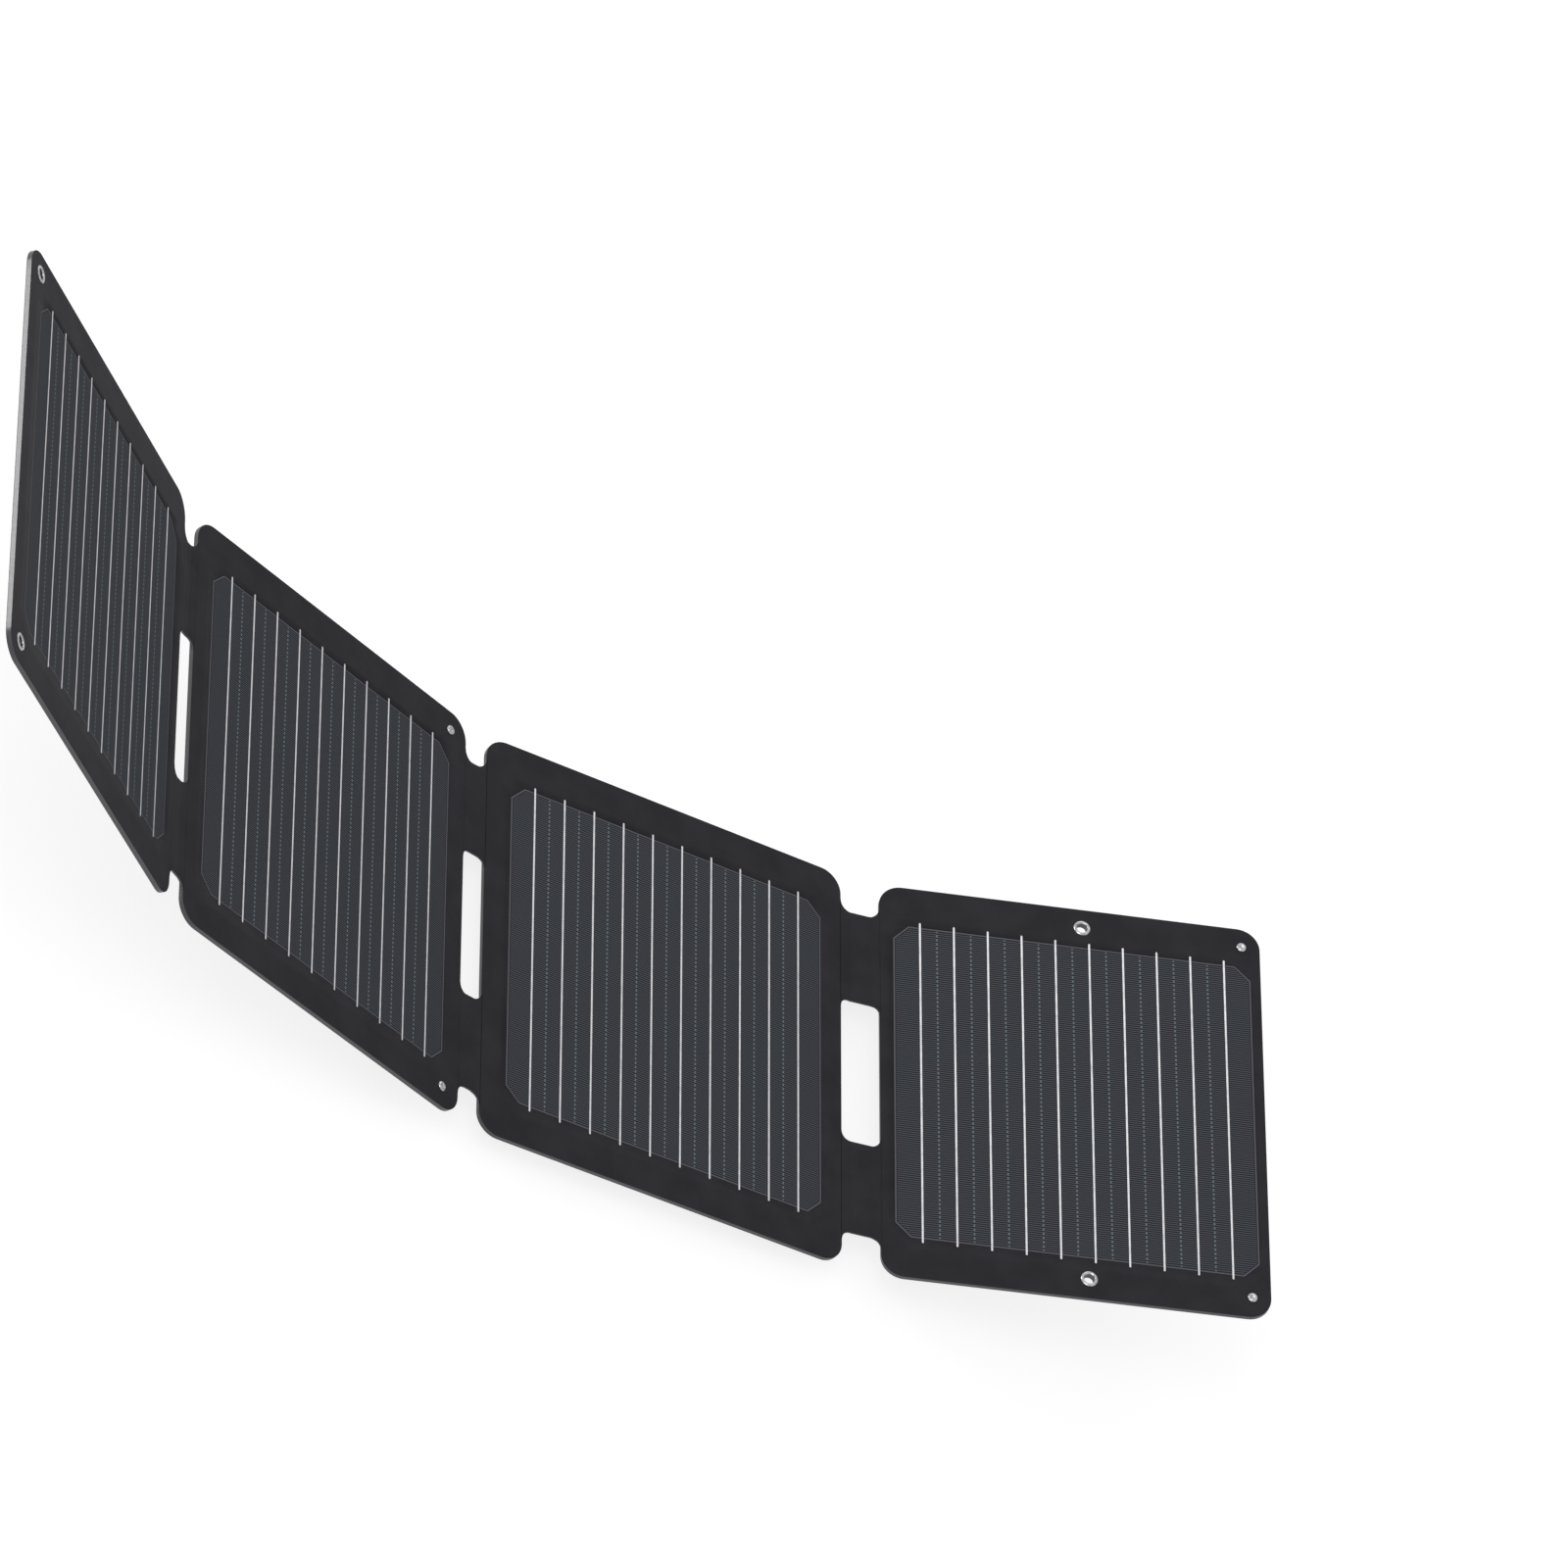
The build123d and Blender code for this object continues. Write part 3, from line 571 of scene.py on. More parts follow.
def cell_face(panel):
    """Dark silicon with printed fingers, dotted busbars and a pale border."""
    shader = Shader(f"cell_{panel}", Specular_IOR_Level=0.03)
    position = shader.object_mm(PLACES[panel])
    x, y, _ = shader.split(position)
    across, up = shader.math("ABSOLUTE", x), shader.math("ABSOLUTE", y)
    to_edge = to_cell_edge(shader, across, up)
    printed = shader.limit(to_edge, 0.9, 1.1)
    finger = shader.limit(shader.wave(shader.math("DIVIDE", y, FINGER_PITCH)), 0.24, 0.14)
    finger = shader.times(finger, printed)
    dots = shader.times(solder_dots(shader, x, y, across), printed)
    bloom = shader.noise(position, 0.03, 3.0)
    silicon = shader.mix(shader.limit(bloom, 0.35, 0.65), *SILICON_TONES)
    dotted = shader.mix(dots, shader.mix(finger, silicon, FINGER_TONE), SOLDER_TONE)
    rim = shader.limit(to_edge, 0.75, 0.45)
    speckle = shader.noise(position, 3.0, 2.0)
    shader.set(Base_Color=shader.mix(rim, dotted, CELL_RIM_TONE),
               Roughness=shader.limit(speckle, 0.2, 0.8, 0.60, 0.74),
               Normal=shader.bump(shader.plus(finger, speckle), 0.02))
    return shader.material


def metal(name, light, dark, roughness, scale=0.8):
    """Bare metal with fine brushing and a little tarnish."""
    shader = Shader(name, Metallic=1.0)
    position = shader.object_mm()
    tarnish = shader.noise(position, scale, 4.0, 0.6)
    fine = shader.noise(position, 9.0, 2.0)
    shader.set(Base_Color=shader.mix(shader.limit(tarnish, 0.35, 0.75), light, dark),
               Roughness=shader.limit(tarnish, 0.2, 0.8, roughness, roughness + 0.12))
    shader.set(Normal=shader.bump(fine, 0.012))
    return shader.material


def moulded(name, low, high, roughness, grain=0.03, scale=3.2, **settings):
    """Moulded plastic with a spark-eroded grain and slightly uneven colour."""
    shader = Shader(name, **settings)
    position = shader.object_mm()
    mottle = shader.noise(position, 0.12, 3.0)
    fine = shader.noise(position, scale, 3.0, 0.6)
    shader.set(Base_Color=shader.mix(shader.limit(mottle, 0.3, 0.7), low, high),
               Roughness=shader.limit(fine, 0.25, 0.75, roughness - 0.05, roughness + 0.07))
    shader.set(Normal=shader.bump(fine, grain))
    return shader.material


def glowing(name, colour, colour_2, strength):
    """Lit display material that drifts between two colours."""
    shader = Shader(name, Base_Color=colour, Roughness=0.4, Emission_Strength=strength)
    position = shader.object_mm()
    shader.set(Emission_Color=shader.mix(shader.noise(position, 1.2, 2.0), colour, colour_2))
    return shader.material


def sealed_edge():
    """Heat-sealed black rim: smooth and semi-gloss, so that it catches the light."""
    shader = Shader("sealed_edge", Specular_IOR_Level=0.8, Coat_Weight=0.3, Coat_Roughness=0.34)
    _, _, uv = shader.uv_mm()
    ripple = shader.noise(uv, 0.5, 2.0)
    shader.set(Base_Color=shader.mix(ripple, *EDGE_TONES),
               Roughness=shader.limit(ripple, 0.2, 0.8, 0.33, 0.36))
    return shader.material


CLOTH = woven_cloth()
# A darker copy of the cloth: painted shade for the shadow line along the pocket's seam
SEAM_PAINTED_SHADE = woven_cloth("seam_painted_shade", 0.35)
EDGE = sealed_edge()
FILM = front_film()
CELLS = {panel: cell_face(panel) for panel in (1, 2, 3, 4)}
WIRE = metal("bright_wire", srgb(240, 240, 242), srgb(214, 214, 220), 0.30, 0.2)
NICKEL = metal("eyelet_metal", srgb(206, 206, 209), srgb(158, 158, 163), 0.18)
# Darker metal for the inside of the eyelets' barrels: painted shade in the hole
BORE_PAINTED_SHADE = metal("eyelet_bore_painted_shade", srgb(112, 112, 116), srgb(78, 78, 82), 0.34)
DISC_STEEL = metal("disc_steel", srgb(180, 182, 186), srgb(140, 142, 148), 0.35)
SOCKET_STEEL = metal("socket_steel", srgb(206, 207, 210), srgb(160, 161, 166), 0.24)
TAPE = metal("tape", srgb(214, 208, 200), srgb(176, 168, 160), 0.38)
COVER = moulded("cover_orange", srgb(207, 120, 56), srgb(214, 128, 66), 0.48, 0.022)
SHELL = moulded("box_black", srgb(20, 20, 22), srgb(28, 28, 31), 0.5, 0.03)
WINDOW = moulded("window_dark", srgb(32, 38, 43), srgb(40, 46, 52), 0.34, 0.006, 6.0, Coat_Weight=0.12,
                 Coat_Roughness=0.12)
DIGIT = glowing("display_red", srgb(198, 30, 62), srgb(225, 60, 80), 0.55)
BOARD = moulded("board", srgb(74, 70, 62), srgb(92, 88, 78), 0.7, 0.04)
RIBBON = moulded("ribbon", srgb(120, 70, 30), srgb(146, 88, 38), 0.4, 0.02)
GREEN = moulded("circuit_green", srgb(22, 74, 48), srgb(30, 92, 60), 0.4, 0.02)
CHIP = moulded("chip_black", srgb(24, 24, 26), srgb(40, 40, 43), 0.55, 0.03)
TONGUE = moulded("tongue_black", srgb(18, 18, 20), srgb(30, 30, 33), 0.45, 0.02)
LEAD = moulded("lead_black", srgb(22, 22, 24), srgb(32, 32, 35), 0.6, 0.03)

CAD_LOOKS = {f"panel_{panel}_cell": look for panel, look in CELLS.items()}
CAD_LOOKS.update({
    "wires": WIRE, "bus_tapes": TAPE, "board": BOARD, "catch_discs": DISC_STEEL, "ribbon": RIBBON,
    "power_box_base": SHELL, "power_box_shell": SHELL, "power_box_cover": COVER, "power_box_window": WINDOW,
    "power_box_display": CHIP, "power_box_circuit_board": GREEN, "power_box_chips": CHIP,
    "power_box_screws": SOCKET_STEEL, "power_box_lead": LEAD, "shell": SOCKET_STEEL, "tongue": TONGUE,
})


def dress_cad_nodes():
    """Give each CAD node that stays its material, by its whole name or by its last words."""
    for name, node in NODES.items():
        look = CAD_LOOKS.get(name) or CAD_LOOKS.get(name.split("_", 2)[-1])
        if look:
            node.data.materials.clear()
            node.data.materials.append(look)


# -------- panels

FRONT_MARGIN = 0.8  # how far in from the rim the front's flat fill ends
BACK_MARGIN = 1.2
TURN_STRETCH = 1.3  # how much the back's UVs unroll round its turned rim
FRONT_GAP = 6.0  # spacing of the points inside a flat face
BACK_GAP = 5.0


def panel_outline(panel):
    return rounded_rect(-EDGE_LEFT[panel], EDGE_RIGHT[panel], PANEL_HALF_Y, PANEL_CORNER)


def quarter(count=4):
    """Steps of a quarter turn as (sine, cosine)."""
    return [(math.sin(math.pi / 2 * i / count), math.cos(math.pi / 2 * i / count)) for i in range(count + 1)]


def ringed(mesh, outline, rings, u0, slot=0):
    """Lofts rings given as (inset, height, reach): reach is how far out the UVs unroll."""
    made = []
    for inset, height, reach in rings:
        ring = [mesh.point(x, y, height) for x, y in inset_ring(outline, inset)]
        uvs = [(x + u0, y) for x, y in inset_ring(outline, -reach)]
        made.append((ring, uvs))
    for (ring_a, uv_a), (ring_b, uv_b) in zip(made, made[1:]):
        mesh.strip(ring_a, ring_b, uv_a, uv_b, slot=slot)


def flat_fill(mesh, outer, holes, height, u0, spacing):
    """A flat face at one height, with its UVs shifted along the strip by u0."""
    points, faces = fill(outer, holes, spacing)
    numbers = [mesh.point(x, y, height) for x, y in points]
    for face in faces:
        mesh.face([numbers[i] for i in face], [(points[i][0] + u0, points[i][1]) for i in face])


def make_front(panel, eyelets):
    """Front laminate with the cell window, rolled over at its rim."""
    mesh = Mesh(PLACES[panel])
    outline = panel_outline(panel)
    window = cut_square(CELL_HALF + WINDOW_GAP, CELL_CHAMFER)
    holes = [circle(x, y, EYELET_HOLE_R) for x, y in eyelets]
    flat_fill(mesh, inset_ring(outline, FRONT_MARGIN), [window] + holes, 0.0, FLAT_X[panel], FRONT_GAP)
    rings = [(inset, 0.0, -inset) for inset in (FRONT_MARGIN, FRONT_MARGIN / 2)]
    rings += [(FILM_ROUND * (1 - s), FILM_ROUND * (c - 1), -FILM_ROUND * (1 - s)) for s, c in quarter(3)]
    ringed(mesh, outline, rings, FLAT_X[panel])
    top = [mesh.point(x, y, 0.0) for x, y in window]
    bottom = [mesh.point(x, y, -FILM_T) for x, y in window]
    uvs = [(x + FLAT_X[panel], y) for x, y in window]
    mesh.strip(top, bottom, uvs, uvs)
    piece = mesh.build(f"panel_{panel}_face", [FILM])
    tie(piece, PANEL_BODY[panel], "front_film", f"panel_{panel}_front_film")


def make_back(panel, eyelets):
    """Woven back, turned up at its rim to meet the sealed edge."""
    mesh = Mesh(PLACES[panel])
    outline = panel_outline(panel)
    holes = [circle(x, y, EYELET_HOLE_R) for x, y in eyelets]
    flat_fill(mesh, inset_ring(outline, BACK_MARGIN), holes, -PANEL_T, FLAT_X[panel], BACK_GAP)
    turn_z = BACK_ROUND - PANEL_T
    rings = [(inset, -PANEL_T, -inset) for inset in (BACK_MARGIN, BACK_MARGIN / 2)]
    rings += [(BACK_ROUND * (1 - s), turn_z - BACK_ROUND * c, BACK_ROUND * (s * TURN_STRETCH - 1))
              for s, c in quarter(3)]
    ringed(mesh, outline, rings, FLAT_X[panel])
    piece = mesh.build(f"panel_{panel}_back", [CLOTH])
    tie(piece, PANEL_BODY[panel], "woven_cloth", f"panel_{panel}_back_cloth")


def make_edge(panel):
    """The sealed rim between laminate and cloth: a smooth, hard-edged wall."""
    mesh = Mesh(PLACES[panel])
    outline = panel_outline(panel)
    low, high = BACK_ROUND - PANEL_T, -FILM_ROUND
    rings = [(0.0, high + (low - high) * i / 3, (high - low) * (1 - i / 3)) for i in range(4)]
    ringed(mesh, outline, rings, FLAT_X[panel])
    piece = mesh.build(f"panel_{panel}_edge", [EDGE])
    tie(piece, PANEL_BODY[panel], "front_film", f"panel_{panel}_back_cloth")


# -------- eyelets and studs

# Curves as (share of the width, share of the height) pairs
FLANGE_CURVE = ((0.02, 0.0), (0.08, 0.45), (0.20, 0.80), (0.36, 0.97), (0.52, 1.0), (0.70, 0.86),
                (0.86, 0.55), (0.96, 0.22), (1.0, 0.0))
LIP_CURVE = ((0.90, 0.0), (1.0, 0.3), (0.97, 0.7), (0.75, 1.0), (0.35, 1.0), (0.10, 0.8))
STUD_CURVE = ((0.0, 0.50), (0.15, 0.52), (0.28, 0.62), (0.36, 0.80), (0.44, 0.95), (0.54, 1.0), (0.68, 0.96),
              (0.82, 0.82), (0.92, 0.62), (0.98, 0.36), (1.0, 0.12), (0.98, 0.0), (0.90, -0.03), (0.0, -0.03))
SUNK = 0.03  # how far a flange's underside is let into the laminate


def eyelet_profile():
    """A rolled flange, a straight barrel and a curled lip, as (radius, height) pairs."""
    ring, curl = EYELET_FLANGE_R - EYELET_R, EYELET_LIP_R - EYELET_R
    lip_z = -PANEL_T - EYELET_FLANGE_T
    profile = [(EYELET_R, lip_z - 0.1), (EYELET_R, -0.2)]
    profile += [(EYELET_R + ring * u, EYELET_FLANGE_T * h) for u, h in FLANGE_CURVE]
    profile += [(EYELET_FLANGE_R - 0.1, -SUNK), (EYELET_BARREL_R, -SUNK), (EYELET_BARREL_R, lip_z)]
    return profile + [(EYELET_R + curl * u, lip_z - EYELET_LIP_T * h) for u, h in LIP_CURVE]


def washer_profile():
    """A flat washer with a softened rim, as (radius, height) pairs."""
    top, bottom = -PANEL_T - 0.01, -PANEL_T - EYELET_FLANGE_T
    return [(EYELET_HOLE_R, top), (EYELET_FLANGE_R - 0.1, top), (EYELET_FLANGE_R, top - 0.1),
            (EYELET_FLANGE_R, top - 0.22), (EYELET_FLANGE_R - 0.08, bottom + 0.05),
            (EYELET_FLANGE_R - 0.25, bottom), (EYELET_HOLE_R, bottom)]


def stud_profile():
    """A low dome with a dimple in its crown, as (radius, height) pairs."""
    return [(STUD_R * u, STUD_PROUD * h) for u, h in STUD_CURVE]


def make_fasteners():
    """Rolled eyelets with washers, and domed studs with a dimple."""
    for panel in (1, 4):
        place, body = PLACES[panel], PANEL_BODY[panel]
        spots = spots_on(place, f"panel_{panel}_eyelets")
        # The barrel's inner wall takes the darker metal, painted shade inside the hole
        eyelets = lathe(f"panel_{panel}_rolled_eyelets", place, spots, eyelet_profile(), [NICKEL, BORE_PAINTED_SHADE])
        washers = lathe(f"panel_{panel}_rolled_washers", place, spots, washer_profile(), [NICKEL])
        tie(eyelets, body, "eyelet_metal", f"panel_{panel}_eyelets")
        tie(washers, body, "eyelet_metal", f"panel_{panel}_eyelet_washers")
    for panel in (2, 4):
        place, body = PLACES[panel], PANEL_BODY[panel]
        spots = spots_on(place, f"panel_{panel}_studs")
        studs = lathe(f"panel_{panel}_domed_studs", place, spots, stud_profile(), [NICKEL], closed=False)
        tie(studs, body, "eyelet_metal", f"panel_{panel}_studs")


# -------- fabric hinges

CREASE_REACH = 1.3  # half the width over which a band bends at its crease


def bite(radius, t):
    """How far a rounded corner narrows a slot at a distance t from the corner's start."""
    return radius - math.sqrt(max(0.0, radius * radius - (radius - t) ** 2)) if 0 <= t < radius else 0.0


def band_edges(t):
    """Inner and outer Y of a band at a distance t out from the plate's edge."""
    if t < 0:
        return BAND_INNER - SLOT_ROUND + t, BAND_OUTER + NOTCH_ROUND - t
    return BAND_INNER - bite(SLOT_ROUND, t), BAND_OUTER + bite(NOTCH_ROUND, t)


def smoothstep(value):
    value = min(1.0, max(0.0, value))
    return value * value * (3 - 2 * value)


STATION_GAP = 0.08


def band_stations(tab, reach):
    """Distances from the plate's edge at which the band gets a cross-section."""
    stations = {-2 * FILM_ROUND, -FILM_ROUND, 0.0, tab, reach}
    for radius in (SLOT_ROUND, NOTCH_ROUND):
        stations |= {radius * (1 - math.cos(math.pi / 2 * i / 8)) for i in range(9)}
    stations |= {tab + CREASE_REACH * i / 5 for i in range(-5, 6)}
    stations |= {tab + CREASE_REACH + i for i in range(1, 5)}
    kept = []
    for t in sorted(s for s in stations if s <= reach):
        if not kept or t - kept[-1] >= STATION_GAP:
            kept.append(t)
    kept[-1] = reach
    return kept


def band_cap(inner, outer, surface, radius, away, count=10):
    """A band's face and its rounded rims, as (y, z, v); away is -1 for the front, 1 for the back."""
    arc = [(radius * (1 - s), surface + away * radius * (1 - c), radius * (1 - s)) for s, c in quarter(3)]
    low, high = inner + radius, outer - radius
    line = [(inner + cut, z, inner + flat) for cut, z, flat in reversed(arc)]
    line += [(low + (high - low) * i / count, surface, low + (high - low) * i / count)
             for i in range(1, count)]
    return line + [(outer - cut, z, outer - flat) for cut, z, flat in arc]


def front_lines(inner, outer):
    return [band_cap(inner, outer, 0.0, FILM_ROUND, -1)]


def back_lines(inner, outer):
    return [band_cap(inner, outer, -BAND_T, BACK_ROUND, 1)]


EDGE_UNROLL = 0.7  # height of a band's wall in its UVs


def edge_lines(inner, outer):
    """Both walls of a band, as (y, z, v)."""
    top, bottom = -FILM_ROUND, BACK_ROUND - BAND_T
    return [[(y, top + (bottom - top) * i / 2, y + out * i / 2) for i in range(3)]
            for y, out in ((inner, -EDGE_UNROLL), (outer, EDGE_UNROLL))]


# Part of a band: its lines, its material, the CAD nodes it stands for and its slot in the record
BAND_PARTS = (
    ("front", front_lines, FILM, "front_film", "front_film", "front_film"),
    ("edge", edge_lines, EDGE, "cloth", "back_cloth", "front_film"),
    ("back", back_lines, CLOTH, "cloth", "back_cloth", "woven_cloth"),
)


class Band:
    """The fabric from one panel's edge to the middle of the spine, bending at its crease."""

    def __init__(self, hinge, panel, side):
        self.place, self.side, self.flat_x = PLACES[panel], side, FLAT_X[panel]
        self.tab = (TAB_LEFT if side > 0 else TAB_RIGHT)[hinge]
        self.edge = (EDGE_RIGHT if side > 0 else EDGE_LEFT)[panel]
        self.bend = TURNS[f"spine_{hinge}"] - TURNS[f"panel_{panel}"]
        self.crease = self.place.at(side * (self.edge + self.tab), 0, -BAND_T / 2)
        self.stations = band_stations(self.tab, self.tab + SPINE[hinge] / 2)

    def put(self, mesh, t, y, z):
        """Adds a point at a distance t out from the plate's edge, turned with the bend."""
        flat = self.place.at(self.side * (self.edge + t), y, z)
        angle = self.bend * smoothstep((t - self.tab + CREASE_REACH) / (2 * CREASE_REACH))
        mesh.points.append(self.crease + Matrix.Rotation(angle, 3, "Y") @ (flat - self.crease))
        return len(mesh.points) - 1

    def loft(self, section):
        """A mesh of both bands, upper and lower, through the section's lines at every station."""
        mesh = Mesh()
        for half in (1, -1):
            for line in range(len(section(*band_edges(0)))):
                rows = []
                for t in self.stations:
                    u = self.flat_x + self.side * (self.edge + t)
                    rows.append([(self.put(mesh, t, half * y, z), (u, half * v))
                                 for y, z, v in section(*band_edges(t))[line]])
                for a, b in zip(rows, rows[1:]):
                    (ring_a, uv_a), (ring_b, uv_b) = zip(*a), zip(*b)
                    mesh.strip(ring_a, ring_b, uv_a, uv_b, closed=False)
        return mesh

    def bend_ends(self):
        """Points where the bend starts and ends, on the panel's side and on the spine's side."""
        start = self.place.at(self.side * (self.edge + self.tab - CREASE_REACH), 0, -BAND_T / 2)
        along = (self.crease - start).normalized()
        half_turn = Matrix.Rotation(self.bend / 2, 3, "Y")
        reach = half_turn @ along * CREASE_REACH * MM
        return self.crease - reach, self.crease + reach


def band_half(name, hinge, panel, side):
    """The pieces of one panel's half of a hinge."""
    band = Band(hinge, panel, side)
    near, far = band.bend_ends()
    for part, section, material, spine_node, panel_node, slot in BAND_PARTS:
        piece = band.loft(section).build(f"{name}_{part}", [material])
        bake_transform(piece)
        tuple(near)
        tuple(far)
        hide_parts(f"spine_{hinge}_{spine_node}", f"panel_{panel}_{panel_node}")


def make_hinges():
    for hinge in (1, 2, 3):
        band_half(f"hinge_{hinge}_left_half", hinge, hinge, 1)
        band_half(f"hinge_{hinge}_right_half", hinge, hinge + 1, -1)


# -------- pocket on the back

POUCH_SHEET = 0.8
POUCH_LIFT = 2.1
# The welded seam and the wall that rises from it, as (inset from the seam line, rise) pairs
POUCH_RISE = ((0.0, 0.45), (0.7, 0.55), (1.3, 0.62), (1.8, 0.95), (2.4, 1.45), (3.1, 1.85), (4.0, POUCH_LIFT))
PAINTED_SHADE_ROWS = (1, 2)  # which strips of that wall get the darker cloth, painted shade along the seam
POUCH_GRID = 3.2
POUCH_SLACK = 0.012  # share by which the cloth is larger than its frame
POUCH_SAG = 0.9  # the most a point moves, in millimetres
CLOTH_FRAMES = 24


def pouch_path(inset, corner=16):
    """The pocket's seam line drawn in by a distance: down one side, across, and up the other."""
    left, right = POCKET_LEFT + inset, POCKET_RIGHT - inset
    bottom, radius = POCKET_BOTTOM + inset, POCKET_CORNER - inset
    side_end = bottom + radius
    rise = POCKET_TOP - bottom - radius
    steps_y = round((POCKET_TOP - POCKET_BOTTOM - POCKET_CORNER) / POUCH_GRID)
    steps_x = round((POCKET_RIGHT - POCKET_LEFT - 2 * POCKET_CORNER) / POUCH_GRID)
    turns = [(math.sin(math.pi / 2 * i / corner), math.cos(math.pi / 2 * i / corner)) for i in range(corner)]
    path = [(left, POCKET_TOP + (side_end - POCKET_TOP) * i / steps_y) for i in range(steps_y)]
    path += [(left + radius - radius * c, side_end - radius * s) for s, c in turns]
    path += [(left + radius + (right - left - 2 * radius) * i / steps_x, bottom) for i in range(steps_x)]
    path += [(right - radius + radius * s, side_end - radius * c) for s, c in turns]
    return path + [(right, side_end + rise * i / steps_y) for i in range(steps_y + 1)]


def simulate(piece, pinned, slack, cap):
    """Lets a pinned sheet settle as cloth, and returns its points, none moved by more than cap."""
    group = piece.vertex_groups.new(name="pinned")
    for number, weight in pinned.items():
        group.add([number], weight, "REPLACE")
    before = [v.co.copy() for v in piece.data.vertices]
    cloth = piece.modifiers.new("cloth", "CLOTH")
    settings = cloth.settings
    settings.vertex_group_mass = "pinned"
    settings.quality = 6
    settings.mass = 0.25
    settings.tension_stiffness = settings.compression_stiffness = 18
    settings.shear_stiffness = 8
    settings.bending_stiffness = 0.6
    settings.shrink_min = -slack
    settings.effector_weights.gravity = 0.35
    cloth.collision_settings.use_collision = False
    cloth.point_cache.frame_start, cloth.point_cache.frame_end = 1, CLOTH_FRAMES
    for number in range(1, CLOTH_FRAMES + 1):
        SCENE.frame_set(number)
    settled = piece.evaluated_get(bpy.context.evaluated_depsgraph_get())
    after = [v.co.copy() for v in settled.data.vertices]
    piece.modifiers.remove(cloth)
    SCENE.frame_set(1)
    moved = []
    for old, new in zip(before, after):
        shift = new - old
        moved.append(old + shift * min(1.0, cap / max(shift.length, 1e-9)))
    return moved


def pouch_sheet():
    """The pocket's sheet before it settles, with the outline of its flat part."""
    mesh = Mesh(HUB)
    rows = []
    for inset, rise in POUCH_RISE:
        path = pouch_path(inset)
        rows.append(([mesh.point(x, y, -PANEL_T - rise) for x, y in path], path))
    for number, ((ring_a, path_a), (ring_b, path_b)) in enumerate(zip(rows, rows[1:])):
        # The strips next to the seam get the darker cloth: painted shade
        slot = 1 if number in PAINTED_SHADE_ROWS else 0
        mesh.strip(ring_a, ring_b, path_a, path_b, closed=False, slot=slot)
    rim = rows[-1][1]
    width = rim[-1][0] - rim[0][0]
    count = round(width / POUCH_GRID)
    top = [(rim[-1][0] - width * i / count, POCKET_TOP) for i in range(1, count)]
    flat_fill(mesh, rim + top, [], -PANEL_T - POUCH_LIFT, 0.0, POUCH_GRID)
    return mesh.build("pocket_cloth", [CLOTH, SEAM_PAINTED_SHADE]), rim


def pouch_pins(piece, rim):
    """Weight 1 for the points of the wall and the rim, which the seam holds, and 0 for the rest."""
    flat = HUB.at(0, 0, -PANEL_T - POUCH_LIFT).z
    border = {(round(x, 3), round(y, 3)) for x, y in rim}
    pins = {}
    for vertex in piece.data.vertices:
        local = (vertex.co - HUB.origin) / MM
        on_wall = vertex.co.z > flat + 1e-7 or min(local.x - rim[0][0], rim[-1][0] - local.x) < 0.01
        on_rim = (round(local.x, 3), round(local.y, 3)) in border
        pins[vertex.index] = 1.0 if on_wall or on_rim else 0.0
    return pins


def make_pouch():
    """Slack cloth pocket welded to the back of panel 3 along its sides and bottom, open at the top."""
    piece, rim = pouch_sheet()
    settled = simulate(piece, pouch_pins(piece, rim), POUCH_SLACK, POUCH_SAG * MM)
    for vertex, spot in zip(piece.data.vertices, settled):
        vertex.co = spot
    thick = piece.modifiers.new("sheet", "SOLIDIFY")
    thick.thickness = POUCH_SHEET * MM
    thick.offset = -1
    applied = bpy.data.meshes.new_from_object(
        piece.evaluated_get(bpy.context.evaluated_depsgraph_get()))
    piece.modifiers.clear()
    piece.data = applied
    tie(piece, "hub_panel", "woven_cloth", "pocket_pouch")


# -------- power box cover


COVER_RIM = 1.6  # width of the ring between the flat face and the outer edge
COVER_LIP = 0.7  # the same round the window's well
COVER_GAP = 2.2  # spacing of the points inside the flat face


def make_cover():
    """Orange cover: flat face, rolled outer rim and a softened edge round the window's well."""
    mesh = Mesh(HUB)
    outline = bulged_square(BOX_X, BOX_Y, BOX_SIDE, BOX_BULGE, BOX_CORNER)
    well = bulged_square(BOX_X, BOX_Y, WINDOW_SIDE, WINDOW_BULGE, WINDOW_CORNER)
    face, hole = inset_ring(outline, COVER_RIM), inset_ring(well, -COVER_LIP)
    flat_fill(mesh, face, [hole], COVER_LOW, 0.0, COVER_GAP)
    low = COVER_LOW + COVER_ROUND
    rings = [(COVER_RIM, COVER_LOW), (COVER_ROUND + 0.25, COVER_LOW)]
    rings += [(COVER_ROUND * (1 - s), low - COVER_ROUND * c) for s, c in quarter(7)]
    rings += [(0.0, COVER_HIGH - 0.12), (0.12, COVER_HIGH), (COVER_STEP + 0.6, COVER_HIGH)]
    inner = [(-COVER_LIP, COVER_LOW), (-WINDOW_ROUND - 0.1, COVER_LOW)]
    inner += [(-WINDOW_ROUND * (1 - s), COVER_LOW + WINDOW_ROUND * (1 - c)) for s, c in quarter(4)]
    inner += [(0.0, COVER_HIGH - 0.4)]
    for line, steps in ((outline, rings), (well, inner)):
        made = [[mesh.point(x, y, z) for x, y in inset_ring(line, cut)] for cut, z in steps]
        for a, b in zip(made, made[1:]):
            mesh.strip(a, b)
    piece = mesh.build("power_box_orange_cover", [COVER])
    tie(piece, "hub_panel", "cover_orange", "power_box_cover")


# -------- display digits

